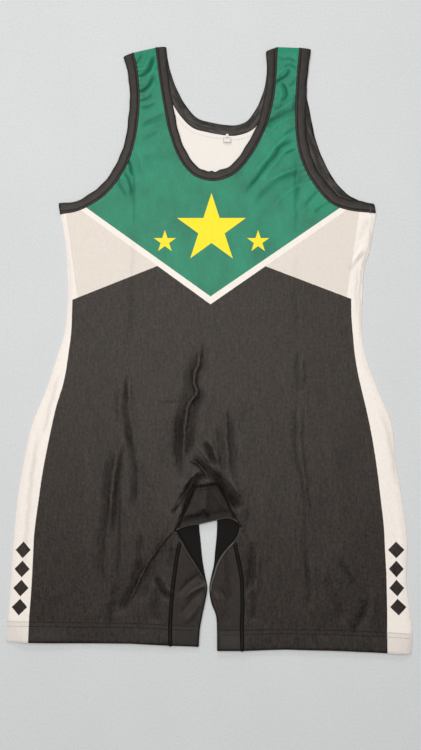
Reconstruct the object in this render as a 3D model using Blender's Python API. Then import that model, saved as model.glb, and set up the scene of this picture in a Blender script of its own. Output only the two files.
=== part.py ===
# Wrestling singlet lying face up on a flat surface, built as a maker cuts it.
# Metres, +X to the picture's right, +Y towards the shoulders, +Z up out of the floor.
# The tables give places from the garment's centre line and from its lowest hem.

import math
from collections import namedtuple

import bmesh
import bpy
import numpy as np
from mathutils import Matrix, Vector
from mathutils.geometry import delaunay_2d_cdt

# Driving sizes
GARMENT_LENGTH = 0.8495
CENTRE_LINE_X = 0.0020
CLOTH = 0.0010
BINDING_THICK = 0.0020
NECK_BINDING_WIDTH = 0.0133
BACK_NECK_BINDING_WIDTH = 0.0150
LEFT_ARM_BINDING_WIDTH = 0.0142
RIGHT_ARM_BINDING_WIDTH = 0.0156
TURN_BACK = 0.0018
SEAM_GAP = 0.0003
INSEAM_WIDTH = 0.0056
INSEAM_THICK = 0.0020
HEM_DEPTH = 0.0220
HEM_EXTRA = 0.0006
HEM_STEP = 0.0030

# Lie of the front cloth above the floor, measured to the middle of its wall
FRONT_LIE = 0.0034
EDGE_LIE = 0.00185
EDGE_ROUND = 0.011
BELLY_LIFT = 0.0010
BELLY_FADE = 0.12
BELLY_TOP = 0.66
BELLY_TOP_FADE = 0.20
CROTCH_LIFT = 0.0030
CROTCH_CENTRE = (-0.003, 0.185)
CROTCH_REACH = 0.105
THIGH_TURN = 0.0045
ROLL_ROUND = 0.0035
ROLL_DROP = 0.0014
ROLL_START = 0.1615
STEEPEST_WALL = 2.2
FOLD_END_FADE = 0.25
INSEAM_RISE = 0.0006

# Tops of the gap between the legs: in the back cloth and in the inner leg strips
LEFT_GAP_TOP = 0.1930
RIGHT_GAP_TOP = 0.1945
LEFT_STRIP_TOP = 0.1812
RIGHT_STRIP_TOP = 0.1868
STRIP_TIP = 0.004

# Shape of the bindings and seams in section
BAND_EDGE = 0.0011
TURN_BLEND = 0.03
TURN_SHARES = (0.25, 0.5, 0.75)

# Mesh spacing
EDGE_STEP = 0.0105
FINE_STEP = 0.006
CLOSEST = 0.0008
FRONT_SPACING = 0.0185
BACK_SPACING = 0.045
GUSSET_SPACING = 0.010
STRIP_SPACING = 0.013
FOLD_STEP = 0.0145
THIGH_STEP = 0.0085
ROLL_GUIDE = 1.4
HEM_POINTS = 17
HEM_ROWS = (HEM_DEPTH - 0.0012, HEM_DEPTH + 0.0042)
GUIDE_CLEARANCE = 0.0045
GRID_CLEARANCE = 0.55
SLOPE_REACH = 0.0004

# Outer edge of the body: distance out from the centre line at each height
Side = namedtuple("Side", "height left right")
SIDES = [
    Side(0.0000, 0.2875, 0.2807),
    Side(0.0280, 0.2852, 0.2820),
    Side(0.0616, 0.2818, 0.2782),
    Side(0.1036, 0.2786, 0.2736),
    Side(0.1596, 0.2750, 0.2747),
    Side(0.2156, 0.2698, 0.2675),
    Side(0.2716, 0.2603, 0.2586),
    Side(0.3206, 0.2493, 0.2530),
    Side(0.3696, 0.2297, 0.2341),
    Side(0.4116, 0.2156, 0.2184),
    Side(0.4536, 0.2031, 0.2114),
    Side(0.5096, 0.1992, 0.2128),
    Side(0.5656, 0.2016, 0.2227),
    Side(0.6160, 0.2100, 0.2314),
]

# Lower edge of each leg: share of the way from the inner to the outer end
Hem = namedtuple("Hem", "share left right")
HEMS = [
    Hem(0.00, 0.0112, 0.0056),
    Hem(0.15, 0.0126, 0.0057),
    Hem(0.35, 0.0158, 0.0072),
    Hem(0.60, 0.0160, 0.0058),
    Hem(0.85, 0.0169, 0.0028),
    Hem(1.00, 0.0176, 0.0000),
]

# Inside of the legs: where the front cloth turns down, and where the cloth ends
Thigh = namedtuple("Thigh", "height left_roll left_gap right_gap right_roll")
THIGHS = [
    Thigh(0.0000, -0.0216, -0.0171, 0.0092, 0.0137),
    Thigh(0.0336, -0.0195, -0.0150, 0.0090, 0.0135),
    Thigh(0.0546, -0.0160, -0.0115, 0.0077, 0.0122),
    Thigh(0.0728, -0.0122, -0.0077, 0.0010, 0.0055),
    Thigh(0.0924, -0.0090, -0.0045, -0.0017, 0.0028),
    Thigh(0.1092, -0.0128, -0.0073, 0.0011, 0.0056),
    Thigh(0.1260, -0.0213, -0.0104, 0.0049, 0.0094),
    Thigh(0.1428, -0.0318, -0.0125, 0.0063, 0.0190),
    Thigh(0.1600, -0.0412, -0.0140, 0.0081, 0.0343),
    Thigh(0.1680, -0.0457, -0.0150, 0.0088, 0.0392),
    Thigh(0.1778, -0.0512, -0.0158, 0.0092, 0.0420),
]

# Middle of the thick seam down the inside of each leg
Inseam = namedtuple("Inseam", "height left right")
INSEAMS = [
    Inseam(0.0040, -0.0560, 0.0445),
    Inseam(0.0400, -0.0563, 0.0437),
    Inseam(0.0620, -0.0553, 0.0445),
    Inseam(0.0860, -0.0534, 0.0444),
    Inseam(0.1110, -0.0504, 0.0430),
    Inseam(0.1330, -0.0476, 0.0387),
    Inseam(0.1470, -0.0450, 0.0357),
    Inseam(0.1575, -0.0424, 0.0336),
]

# Outlines through a few places each: out from the centre line, up from the hem
Place = namedtuple("Place", "x y")
GUSSET_LEFT = [
    Place(-0.0231, 0.2345),
    Place(-0.0305, 0.2156),
    Place(-0.0392, 0.1950),
    Place(-0.0484, 0.1730),
]
GUSSET_RIGHT = [
    Place(0.0133, 0.2394),
    Place(0.0224, 0.2190),
    Place(0.0326, 0.1960),
    Place(0.0420, 0.1778),
]
GUSSET_ROLL = [
    Place(-0.0484, 0.1730),
    Place(-0.0388, 0.1776),
    Place(-0.0263, 0.1810),
    Place(-0.0157, 0.1824),
    Place(-0.0015, 0.1856),
    Place(0.0091, 0.1880),
    Place(0.0217, 0.1905),
    Place(0.0301, 0.1893),
    Place(0.0375, 0.1846),
    Place(0.0420, 0.1778),
]
FRONT_NECK = [
    Place(-0.0771, 0.8484),
    Place(-0.0727, 0.8106),
    Place(-0.0655, 0.7665),
    Place(-0.0591, 0.7336),
    Place(-0.0447, 0.6944),
    Place(-0.0246, 0.6699),
    Place(0.0030, 0.6615),
    Place(0.0315, 0.6699),
    Place(0.0553, 0.6948),
    Place(0.0766, 0.7336),
    Place(0.0874, 0.7700),
    Place(0.0917, 0.8022),
    Place(0.0942, 0.8490),
]
BACK_NECK = [
    Place(-0.0771, 0.8484),
    Place(-0.0745, 0.8288),
    Place(-0.0657, 0.7966),
    Place(-0.0543, 0.7712),
    Place(-0.0397, 0.7500),
    Place(-0.0240, 0.7357),
    Place(-0.0035, 0.7294),
    Place(0.0161, 0.7262),
    Place(0.0357, 0.7250),
    Place(0.0578, 0.7322),
    Place(0.0735, 0.7504),
    Place(0.0850, 0.7728),
    Place(0.0917, 0.7966),
    Place(0.0938, 0.8246),
    Place(0.0942, 0.8490),
]
LEFT_ARM = [
    Place(-0.1074, 0.8414),
    Place(-0.1021, 0.8204),
    Place(-0.0988, 0.7840),
    Place(-0.1002, 0.7490),
    Place(-0.1065, 0.7126),
    Place(-0.1155, 0.6860),
    Place(-0.1316, 0.6594),
    Place(-0.1494, 0.6398),
    Place(-0.1708, 0.6258),
    Place(-0.1887, 0.6182),
    Place(-0.2100, 0.6150),
]
RIGHT_ARM = [
    Place(0.1239, 0.8480),
    Place(0.1211, 0.8204),
    Place(0.1187, 0.7840),
    Place(0.1178, 0.7560),
    Place(0.1196, 0.7224),
    Place(0.1239, 0.6986),
    Place(0.1347, 0.6720),
    Place(0.1526, 0.6454),
    Place(0.1669, 0.6310),
    Place(0.1813, 0.6236),
    Place(0.2009, 0.6190),
    Place(0.2311, 0.6164),
]
RIGHT_ARM_BACK = [
    Place(0.1239, 0.8480),
    Place(0.1211, 0.8204),
    Place(0.1192, 0.7840),
    Place(0.1225, 0.7620),
    Place(0.1309, 0.7210),
    Place(0.1407, 0.6916),
    Place(0.1547, 0.6636),
    Place(0.1701, 0.6426),
    Place(0.1855, 0.6286),
    Place(0.2093, 0.6180),
    Place(0.2311, 0.6164),
]

# Where each binding turns over: its outer corner, and the way the cloth turns
Turn = namedtuple("Turn", "outer_x outer_y away_x away_y")
LEFT_NECK_TURN = Turn(-0.0619, 0.8490, -0.04, 1.0)
RIGHT_NECK_TURN = Turn(0.0776, 0.8428, -0.37, 0.93)
LEFT_SHOULDER_TURN = Turn(-0.1218, 0.8352, -0.39, 0.92)
RIGHT_SHOULDER_TURN = Turn(0.1404, 0.8456, 0.14, 0.99)
LEFT_ARMPIT_TURN = Turn(-0.2121, 0.6307, -0.99, -0.13)
RIGHT_ARMPIT_TURN = Turn(0.2285, 0.6300, 0.98, 0.19)

# The largest folds: a trough where the height is negative, a ridge where it isn't
Fold = namedtuple("Fold", "name x0 y0 x1 y1 sag half_width height")
FOLDS = [
    Fold("middle trough, top", -0.0220, 0.4396, -0.0343, 0.3668, -0.003, 0.0100, -0.0010),
    Fold("middle trough, waist", -0.0315, 0.3766, -0.0497, 0.3136, 0.002, 0.0110, -0.0016),
    Fold("middle trough, low", -0.0497, 0.3248, -0.0427, 0.2464, -0.003, 0.0110, -0.0018),
    Fold("middle ridge, waist", -0.0217, 0.3724, -0.0371, 0.2996, 0.003, 0.0100, 0.0016),
    Fold("middle ridge, low", -0.0371, 0.3108, -0.0329, 0.2632, -0.002, 0.0100, 0.0018),
    Fold("second trough", -0.0105, 0.3668, -0.0250, 0.2758, 0.003, 0.0105, -0.0013),
    Fold("trough over the gusset", -0.0217, 0.2786, 0.0357, 0.2170, 0.002, 0.0100, -0.0022),
    Fold("ridge over the gusset", -0.0370, 0.2690, 0.0088, 0.2440, 0.004, 0.0095, 0.0018),
    Fold("left leg, long trough", -0.1358, 0.2842, -0.1554, 0.1190, -0.004, 0.0120, -0.0014),
    Fold("left leg, second trough", -0.1120, 0.2772, -0.1089, 0.2086, 0.004, 0.0110, -0.0012),
    Fold("left leg, drag ridge", -0.0540, 0.1740, -0.1127, 0.0896, 0.002, 0.0120, 0.0022),
    Fold("left leg, drag trough", -0.0600, 0.1500, -0.1000, 0.0760, 0.003, 0.0110, -0.0014),
    Fold("right strap, upper trough", 0.1130, 0.7196, 0.0539, 0.6510, 0.004, 0.0095, -0.0014),
    Fold("right strap, lower trough", 0.1280, 0.6754, 0.0651, 0.6290, 0.003, 0.0095, -0.0012),
    Fold("left armpit trough", -0.1169, 0.6600, -0.1065, 0.6090, -0.002, 0.0100, -0.0010),
    Fold("left packing ridge", -0.1090, 0.6000, -0.1183, 0.2996, -0.003, 0.0100, 0.0008),
    Fold("right packing ridge, top", 0.1190, 0.6700, 0.1197, 0.2856, 0.001, 0.0100, 0.0008),
    Fold("right packing ridge, low", 0.1197, 0.2600, 0.1380, 0.0450, -0.002, 0.0110, -0.0013),
    Fold("right leg, slanting trough", 0.1780, 0.1380, 0.2240, 0.0620, -0.004, 0.0120, -0.0013),
    Fold("right leg, low trough", 0.2210, 0.0960, 0.2090, 0.0400, 0.003, 0.0110, -0.0010),
]

# Size label at the back neck: centre, then width, height and thickness
LABEL_CENTRE = (0.0231, 0.7175)
LABEL_SIZE = (0.0110, 0.0088, 0.0010)

# Colours as seen, with roughness
Finish = namedtuple("Finish", "red green blue roughness")
BLACK_KNIT = Finish(0.048, 0.042, 0.038, 0.55)
BINDING_KNIT = Finish(0.042, 0.038, 0.037, 0.50)
SEAM_THREAD = Finish(0.016, 0.014, 0.014, 0.70)
INSIDE_WHITE = Finish(0.860, 0.810, 0.760, 0.65)
LABEL_WHITE = Finish(0.820, 0.800, 0.770, 0.45)


def clear_scene():
    for item in list(bpy.data.objects):
        bpy.data.objects.remove(item, do_unlink=True)


def new_collection(name):
    group = bpy.data.collections.new(name)
    bpy.context.scene.collection.children.link(group)
    return group


def material(name, finish):
    """Plain Principled surface in one of the garment's colours."""
    made = bpy.data.materials.new(name)
    made.use_nodes = True
    shader = made.node_tree.nodes["Principled BSDF"]
    shader.inputs["Base Color"].default_value = (finish.red, finish.green, finish.blue, 1.0)
    shader.inputs["Roughness"].default_value = finish.roughness
    shader.inputs["Metallic"].default_value = 0.0
    made.diffuse_color = (finish.red, finish.green, finish.blue, 1.0)
    return made


# Curves


def spline(places, step=EDGE_STEP):
    """Smooth curve through the places, read off at even steps."""
    knots = np.array(places, dtype=float)
    ends = np.vstack([2 * knots[0] - knots[1], knots, 2 * knots[-1] - knots[-2]])
    dense = []
    for before, start, stop, after in zip(ends, ends[1:], ends[2:], ends[3:]):
        span = np.linalg.norm(stop - start)
        slope_in = (stop - before) * span / (span + np.linalg.norm(start - before))
        slope_out = (after - start) * span / (span + np.linalg.norm(after - stop))
        t = np.linspace(0.0, 1.0, 24, endpoint=False)[:, None]
        dense.append(
            (2 * t**3 - 3 * t**2 + 1) * start
            + (t**3 - 2 * t**2 + t) * slope_in
            + (3 * t**2 - 2 * t**3) * stop
            + (t**3 - t**2) * slope_out
        )
    dense = np.vstack(dense + [knots[-1:]])
    return resample(dense, step)


def resample(line, step):
    """The same line with its points at even distances."""
    travel = np.concatenate([[0.0], np.cumsum(np.linalg.norm(np.diff(line, axis=0), axis=1))])
    count = max(2, int(round(travel[-1] / step)) + 1)
    marks = np.linspace(0.0, travel[-1], count)
    return np.column_stack([np.interp(marks, travel, line[:, axis]) for axis in (0, 1)])


def profile(rows, name, sign=1.0):
    """A row's named distance as a smooth function of height, read from a dense curve."""
    line = spline([(sign * getattr(row, name), row.height) for row in rows], 0.002)
    order = np.argsort(line[:, 1])
    heights = line[order, 1]
    across = line[order, 0]
    return lambda y: np.interp(y, heights, across)


left_side_x = profile(SIDES, "left", -1.0)
right_side_x = profile(SIDES, "right")
left_roll_x = profile(THIGHS, "left_roll")
right_roll_x = profile(THIGHS, "right_roll")
left_gap_x = profile(THIGHS, "left_gap")
right_gap_x = profile(THIGHS, "right_gap")
left_inseam_x = profile(INSEAMS, "left")
right_inseam_x = profile(INSEAMS, "right")


def upright(place_x, low, high, step=EDGE_STEP):
    """A line that climbs from one height to another along a profile."""
    heights = np.linspace(low, high, 60)
    return resample(np.column_stack([place_x(heights), heights]), step)


def hem_height(x, side):
    """Height of a leg's lower edge at a distance from the centre line."""
    share = [row.share for row in HEMS]
    if side == "left":
        inner, outer = left_gap_x(HEMS[0].left), left_side_x(HEMS[-1].left)
        level = [row.left for row in HEMS]
    else:
        inner, outer = right_gap_x(HEMS[0].right), right_side_x(HEMS[-1].right)
        level = [row.right for row in HEMS]
    return np.interp((x - inner) / (outer - inner), share, level)


def hem_line(x0, x1, side):
    across = np.linspace(x0, x1, 60)
    return resample(np.column_stack([across, hem_height(across, side)]), EDGE_STEP)


def unit(vectors):
    return vectors / np.maximum(np.linalg.norm(vectors, axis=-1, keepdims=True), 1e-12)


def line_normals(line):
    """Unit normals on the left of an open line."""
    along = unit(np.gradient(line, axis=0))
    return np.column_stack([-along[:, 1], along[:, 0]])


def join(*lines):
    """One closed loop from lines laid end to end, without doubled points."""
    points = np.vstack(lines)
    step = np.linalg.norm(points - np.roll(points, 1, axis=0), axis=1)
    points = points[step > CLOSEST]
    x, y = points[:, 0], points[:, 1]
    area = np.sum(x * np.roll(y, -1) - np.roll(x, -1) * y)
    return points if area > 0 else points[::-1]


def inset(loop, distance):
    """A closed counter-clockwise loop moved inwards."""
    into = unit(loop - np.roll(loop, 1, axis=0))
    out = unit(np.roll(loop, -1, axis=0) - loop)
    normal_in = np.column_stack([-into[:, 1], into[:, 0]])
    normal_out = np.column_stack([-out[:, 1], out[:, 0]])
    spread = 1.0 + np.clip(np.sum(normal_in * normal_out, axis=1), -0.5, 1.0)
    return loop + (normal_in + normal_out) / spread[:, None] * distance


# Form of the front cloth


def smooth(share):
    share = np.clip(share, 0.0, 1.0)
    return share * share * (3.0 - 2.0 * share)


def dome(share):
    """Quarter-round rise from 0 to 1."""
    return np.sqrt(1.0 - (1.0 - np.clip(share, 0.0, 1.0)) ** 2)


def fold_height(x, y, fold):
    """Height that one fold adds: fading at its ends and at its sides."""
    run = np.array([fold.x1 - fold.x0, fold.y1 - fold.y0])
    length = np.linalg.norm(run)
    along = ((x - fold.x0) * run[0] + (y - fold.y0) * run[1]) / length**2
    aside = ((y - fold.y0) * run[0] - (x - fold.x0) * run[1]) / length
    bowed = aside - fold.sag * 4.0 * along * (1.0 - along)
    across = np.clip(1.0 - (bowed / fold.half_width) ** 2, 0.0, 1.0) ** 2
    fade = smooth(along / FOLD_END_FADE) * smooth((1.0 - along) / FOLD_END_FADE)
    return fold.height * across * fade


def shoulder_drop(x, y):
    """Distance below the fold at the top of the nearer strap."""
    left = np.interp(x, [LEFT_ARM[0].x, FRONT_NECK[0].x], [LEFT_ARM[0].y, FRONT_NECK[0].y])
    right = np.interp(x, [FRONT_NECK[-1].x, RIGHT_ARM[0].x], [FRONT_NECK[-1].y, RIGHT_ARM[0].y])
    return np.where(x < 0.0, left, right) - y


def front_middle(x, y):
    """Height of the middle of the front cloth over the floor."""
    x = np.asarray(x, dtype=float)
    y = np.asarray(y, dtype=float)
    side = np.minimum(x - left_side_x(y), right_side_x(y) - x)
    belly = smooth(side / BELLY_FADE) * smooth((BELLY_TOP - y) / BELLY_TOP_FADE)
    reach = np.hypot(x - CROTCH_CENTRE[0], y - CROTCH_CENTRE[1]) / CROTCH_REACH
    lie = FRONT_LIE + BELLY_LIFT * belly + CROTCH_LIFT * smooth(1.0 - reach)
    for fold in FOLDS:
        lie = lie + fold_height(x, y, fold)
    edge = np.minimum(side, shoulder_drop(x, y))
    return EDGE_LIE + (np.maximum(lie, EDGE_LIE) - EDGE_LIE) * dome(edge / EDGE_ROUND)


def strip_middle(x, y):
    """The inner leg cloth falls from its roll to the cloth of the back."""
    lie = front_middle(x, y)
    left = left_roll_x(y) + THIGH_TURN - x
    right = x - right_roll_x(y) + THIGH_TURN
    inside = np.where(x < 0.5 * (left_gap_x(y) + right_gap_x(y)), left, right)
    return EDGE_LIE + (lie - EDGE_LIE) * smooth(inside / THIGH_TURN)


def gusset_middle(x, y):
    """As the front cloth, rounded over at the rolled lower edge."""
    away = distance_to_line(np.column_stack([x, y]), spline(GUSSET_ROLL, 0.003))
    return front_middle(x, y) - ROLL_DROP * (1.0 - dome(away / ROLL_ROUND))


def distance_to_line(points, line):
    start = line[:-1]
    run = line[1:] - start
    share = np.einsum("pij,ij->pi", points[:, None, :] - start[None], run) / np.sum(run * run, axis=1)
    foot = start[None] + np.clip(share, 0.0, 1.0)[..., None] * run[None]
    return np.min(np.linalg.norm(points[:, None, :] - foot, axis=2), axis=1)


def upright_wall(middle, x, y):
    """Upright measure of a wall that is CLOTH thick square to its slope."""
    reach = SLOPE_REACH
    slope_x = (middle(x + reach, y) - middle(x - reach, y)) / (2 * reach)
    slope_y = (middle(x, y + reach) - middle(x, y - reach)) / (2 * reach)
    return CLOTH * np.minimum(np.sqrt(1.0 + slope_x**2 + slope_y**2), STEEPEST_WALL)


def wall_faces(middle):
    """Functions for the lower and upper face of a wall about its middle."""

    def below(x, y):
        return middle(x, y) - 0.5 * upright_wall(middle, x, y)

    def above(x, y):
        return middle(x, y) + 0.5 * upright_wall(middle, x, y)

    return below, above


def hem_extra(x, y):
    """Extra cloth where the hem is turned up inside."""
    rise = np.where(x < 0.0, y - hem_height(x, "left"), y - hem_height(x, "right"))
    return HEM_EXTRA * smooth((HEM_DEPTH + 0.5 * HEM_STEP - rise) / HEM_STEP)


# Meshes


def inside_loop(points, loop):
    """Which points lie inside a closed loop, by counting crossings."""
    x, y = points[:, 0][:, None], points[:, 1][:, None]
    x0, y0 = loop[:, 0][None], loop[:, 1][None]
    x1, y1 = np.roll(loop[:, 0], -1)[None], np.roll(loop[:, 1], -1)[None]
    crossing = (y0 > y) != (y1 > y)
    rise = np.where(y1 == y0, 1.0, y1 - y0)
    return np.sum(crossing & (x < x0 + (y - y0) * (x1 - x0) / rise), axis=1) % 2 == 1


def spread_points(loop, guides, spacing):
    """Guide points, and between them a staggered grid that keeps off the edge."""
    closed = np.vstack([loop, loop[:1]])
    low, high = loop.min(axis=0), loop.max(axis=0)
    grid = []
    row_height = spacing * math.sqrt(3.0) / 2.0
    for row in range(int((high[1] - low[1]) / row_height) + 1):
        start = low[0] + (0.5 * spacing if row % 2 else 0.0)
        for x in np.arange(start, high[0], spacing):
            grid.append((x, low[1] + row * row_height))
    kept = np.empty((0, 2))
    for points, clearance in ((guides, GUIDE_CLEARANCE), (np.array(grid), GRID_CLEARANCE * spacing)):
        if len(points) == 0:
            continue
        points = points[inside_loop(points, loop)]
        points = points[distance_to_line(points, closed) > clearance]
        for point in points:
            near = np.linalg.norm(kept - point, axis=1) if len(kept) else np.array([1.0])
            if near.min() > clearance:
                kept = np.vstack([kept, point])
    return kept


def fold_guides():
    """Points along the crest and the two feet of each fold."""
    guides = []
    for fold in FOLDS:
        start = np.array([fold.x0, fold.y0])
        run = np.array([fold.x1 - fold.x0, fold.y1 - fold.y0])
        length = np.linalg.norm(run)
        side = np.array([-run[1], run[0]]) / length
        for share in np.linspace(0.04, 0.96, max(3, int(round(length / FOLD_STEP)))):
            bow = fold.sag * 4.0 * share * (1.0 - share)
            for offset in (0.0, -fold.half_width, fold.half_width):
                guides.append(start + run * share + side * (bow + offset))
    return np.array(guides)


def hem_guides():
    """Two rows of points at the top of the turned hem."""
    guides = []
    left = np.linspace(INSEAMS[0].left, -SIDES[0].left, HEM_POINTS)
    right = np.linspace(INSEAMS[0].right, SIDES[0].right, HEM_POINTS)
    for side, across in (("left", left), ("right", right)):
        for rise in HEM_ROWS:
            guides.append(np.column_stack([across, hem_height(across, side) + rise]))
    return np.vstack(guides)


def thigh_guides(roll_x, towards_gap):
    """Points along an inner leg's roll, its slope and its foot."""
    guides = []
    for y in np.arange(HEM_DEPTH, THIGHS[-1].height, THIGH_STEP):
        for step in (-THIGH_TURN, 0.0, 0.5 * THIGH_TURN, THIGH_TURN):
            guides.append((roll_x(y) + towards_gap * step, y))
    return np.array(guides)


def object_from(name, mesh_data, finish, group):
    mesh = bpy.data.meshes.new(name)
    mesh_data.to_mesh(mesh)
    mesh_data.free()
    made = bpy.data.objects.new(name, mesh)
    made.data.materials.append(material(name + "_cloth", finish))
    group.objects.link(made)
    mesh.shade_smooth()
    mesh.set_sharp_from_angle(angle=math.radians(40))
    return made


def to_frame(x, y, z):
    """From the garment's own places to the part's frame, centred over its box."""
    return Vector((x + CENTRE_LINE_X, y - 0.5 * GARMENT_LENGTH, z))


def cloth_piece(name, loop, guides, spacing, bottom, top, finish, group):
    """A sheet of cloth cut to a loop, given its thickness between two heights."""
    outline = inset(loop, 0.5 * SEAM_GAP)
    inner = spread_points(outline, guides, spacing)
    points = [Vector((float(x), float(y))) for x, y in np.vstack([outline, inner])]
    flat, _, faces, *_ = delaunay_2d_cdt(points, [], [list(range(len(outline)))], 1, 1e-7)
    x = np.array([p.x for p in flat])
    y = np.array([p.y for p in flat])
    low, high = bottom(x, y), top(x, y)
    sheet = bmesh.new()
    verts = [sheet.verts.new(to_frame(*spot)) for spot in zip(x, y, low)]
    for face in faces:
        sheet.faces.new([verts[i] for i in face])
    sheet.verts.index_update()
    lift = {vert: float(high[i]) for i, vert in enumerate(verts)}
    places = {tuple(np.round(vert.co, 6)): lift[vert] for vert in verts}
    raised = bmesh.ops.extrude_face_region(sheet, geom=sheet.faces[:], use_keep_orig=True)
    for vert in [v for v in raised["geom"] if isinstance(v, bmesh.types.BMVert)]:
        vert.co.z = places[tuple(np.round(vert.co, 6))]
    bmesh.ops.recalc_face_normals(sheet, faces=sheet.faces)
    bmesh.ops.triangulate(sheet, faces=[f for f in sheet.faces if len(f.verts) > 3])
    return object_from(name, sheet, finish, group)


def band_section(inner, outer, normal, thickness):
    """Six corners round a flat band: pointed at its edges, flat above and below."""
    across = outer - inner
    width = across.length
    shy = across * (BAND_EDGE / width)
    rise = normal * (0.5 * thickness)
    return [inner, inner + shy + rise, outer - shy + rise, outer, outer - shy - rise, inner + shy - rise]


def loft(name, sections, closed, finish, group):
    """Skin over a row of sections, closed into a ring or capped at its ends."""
    skin = bmesh.new()
    rings = [[skin.verts.new(point) for point in section] for section in sections]
    pairs = list(zip(rings, rings[1:]))
    if closed:
        pairs.append((rings[-1], rings[0]))
    for near, far in pairs:
        for i in range(len(near)):
            j = (i + 1) % len(near)
            skin.faces.new([near[i], near[j], far[j], far[i]])
    if not closed:
        skin.faces.new(rings[0][::-1])
        skin.faces.new(rings[-1])
    bmesh.ops.triangulate(skin, faces=skin.faces)
    bmesh.ops.recalc_face_normals(skin, faces=skin.faces)
    return object_from(name, skin, finish, group)


# Bindings


def binding_run(line, outward, width, turn_start, turn_end, level, facing):
    """Sections of one stretch of binding, its ends slanted to meet the turns."""
    normals = line_normals(line) * outward
    travel = np.concatenate([[0.0], np.cumsum(np.linalg.norm(np.diff(line, axis=0), axis=1))])
    outer = line + normals * width
    left_over = travel[-1] - travel
    for turn, share in ((turn_start, travel / TURN_BLEND), (turn_end, left_over / TURN_BLEND)):
        corner = np.array([turn.outer_x, turn.outer_y])
        end = line[0] if turn is turn_start else line[-1]
        blend = smooth(share)[:, None]
        outer = blend * outer + (1.0 - blend) * (line + corner - end)
    edges = [(p + unit(q - p) * 0.5 * SEAM_GAP, q) for p, q in zip(line, outer)]
    edges[0] = pulled_back(line[0], line[1], turn_start)
    edges[-1] = pulled_back(line[-1], line[-2], turn_end)
    upward = Vector((0.0, 0.0, facing))
    sections = []
    for start, out in edges:
        start, out = to_frame(*start, level), to_frame(*out, level)
        sections.append(band_section(start, out, upward, BINDING_THICK))
    return sections


def pulled_back(end, before, turn):
    """Inner and outer edge of a binding where its turn starts, short of the fold."""
    outer = np.array([turn.outer_x, turn.outer_y])
    start = end + unit(outer - end) * 0.5 * SEAM_GAP
    away = unit(np.array([turn.away_x, turn.away_y]))
    return start - unit(end - before) * TURN_BACK, outer - away * TURN_BACK


def binding_turn(end, before, turn, high, low):
    """Sections round the turn, from the front cloth down to the back cloth."""
    start, outer = pulled_back(end, before, turn)
    away = Vector((turn.away_x, turn.away_y, 0.0)).normalized()
    middle, radius = 0.5 * (high + low), 0.5 * (high - low)
    sections = []
    for share in TURN_SHARES:
        angle = math.pi * share
        shift = away * (radius * math.sin(angle))
        z = middle + radius * math.cos(angle)
        normal = away * math.sin(angle) + Vector((0.0, 0.0, math.cos(angle)))
        edges = to_frame(*start, z) + shift, to_frame(*outer, z) + shift
        sections.append(band_section(*edges, normal, BINDING_THICK))
    return sections


def binding_loop(name, front, back, widths, turns, outward, group):
    """Front stretch, turn, back stretch and turn, closed into one ring."""
    low = 0.5 * BINDING_THICK
    turn_start, turn_end = turns
    front_run = binding_run(front, outward, widths[0], turn_start, turn_end, FRONT_LIE, 1.0)
    back_run = binding_run(back[::-1], -outward, widths[1], turn_end, turn_start, low, -1.0)
    sections = front_run
    sections = sections + binding_turn(front[-1], front[-2], turn_end, FRONT_LIE, low)
    sections = sections + back_run
    sections = sections + binding_turn(front[0], front[1], turn_start, FRONT_LIE, low)[::-1]
    return loft(name, sections, True, BINDING_KNIT, group)


# Pieces

NECK_LINE = spline(FRONT_NECK)
NECK_LINE_BACK = spline(BACK_NECK)
LEFT_ARM_LINE = spline(LEFT_ARM)
RIGHT_ARM_LINE = spline(RIGHT_ARM)
RIGHT_ARM_LINE_BACK = spline(RIGHT_ARM_BACK)
HALF_SEAM = 0.5 * INSEAM_WIDTH


def side_lines():
    left = upright(left_side_x, HEMS[-1].left, LEFT_ARM[-1].y)
    right = upright(right_side_x, HEMS[-1].right, RIGHT_ARM[-1].y)
    return left, right


def inseam_edge(side, offset):
    """One edge of an inner leg seam, from the hem up to the roll."""
    place_x = left_inseam_x if side == "left" else right_inseam_x
    low = float(hem_height(place_x(INSEAMS[0].height), side))
    line = upright(place_x, low, INSEAMS[-1].height)
    return line + line_normals(line) * offset


def roll_to_corner(side):
    """The turned edge between the inseam and the crotch corner."""
    if side == "left":
        return upright(left_roll_x, ROLL_START, GUSSET_LEFT[-1].y, FINE_STEP)
    return upright(right_roll_x, ROLL_START, GUSSET_RIGHT[-1].y, FINE_STEP)


def front_panel(group):
    left, right = side_lines()
    left_seam = inseam_edge("left", HALF_SEAM)
    right_seam = inseam_edge("right", -HALF_SEAM)
    loop = join(
        right,
        RIGHT_ARM_LINE[::-1],
        NECK_LINE[::-1],
        LEFT_ARM_LINE,
        left[::-1],
        hem_line(left[0][0], left_seam[0][0], "left"),
        left_seam,
        roll_to_corner("left"),
        spline(GUSSET_LEFT)[::-1],
        spline(GUSSET_RIGHT),
        roll_to_corner("right")[::-1],
        right_seam[::-1],
        hem_line(right_seam[0][0], right[0][0], "right"),
    )
    guides = np.vstack([fold_guides(), hem_guides()])
    below, above = wall_faces(front_middle)

    def above_hem(x, y):
        return above(x, y) + hem_extra(x, y)

    cloth_piece("front_panel", loop, guides, FRONT_SPACING, below, above_hem, BLACK_KNIT, group)


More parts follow.
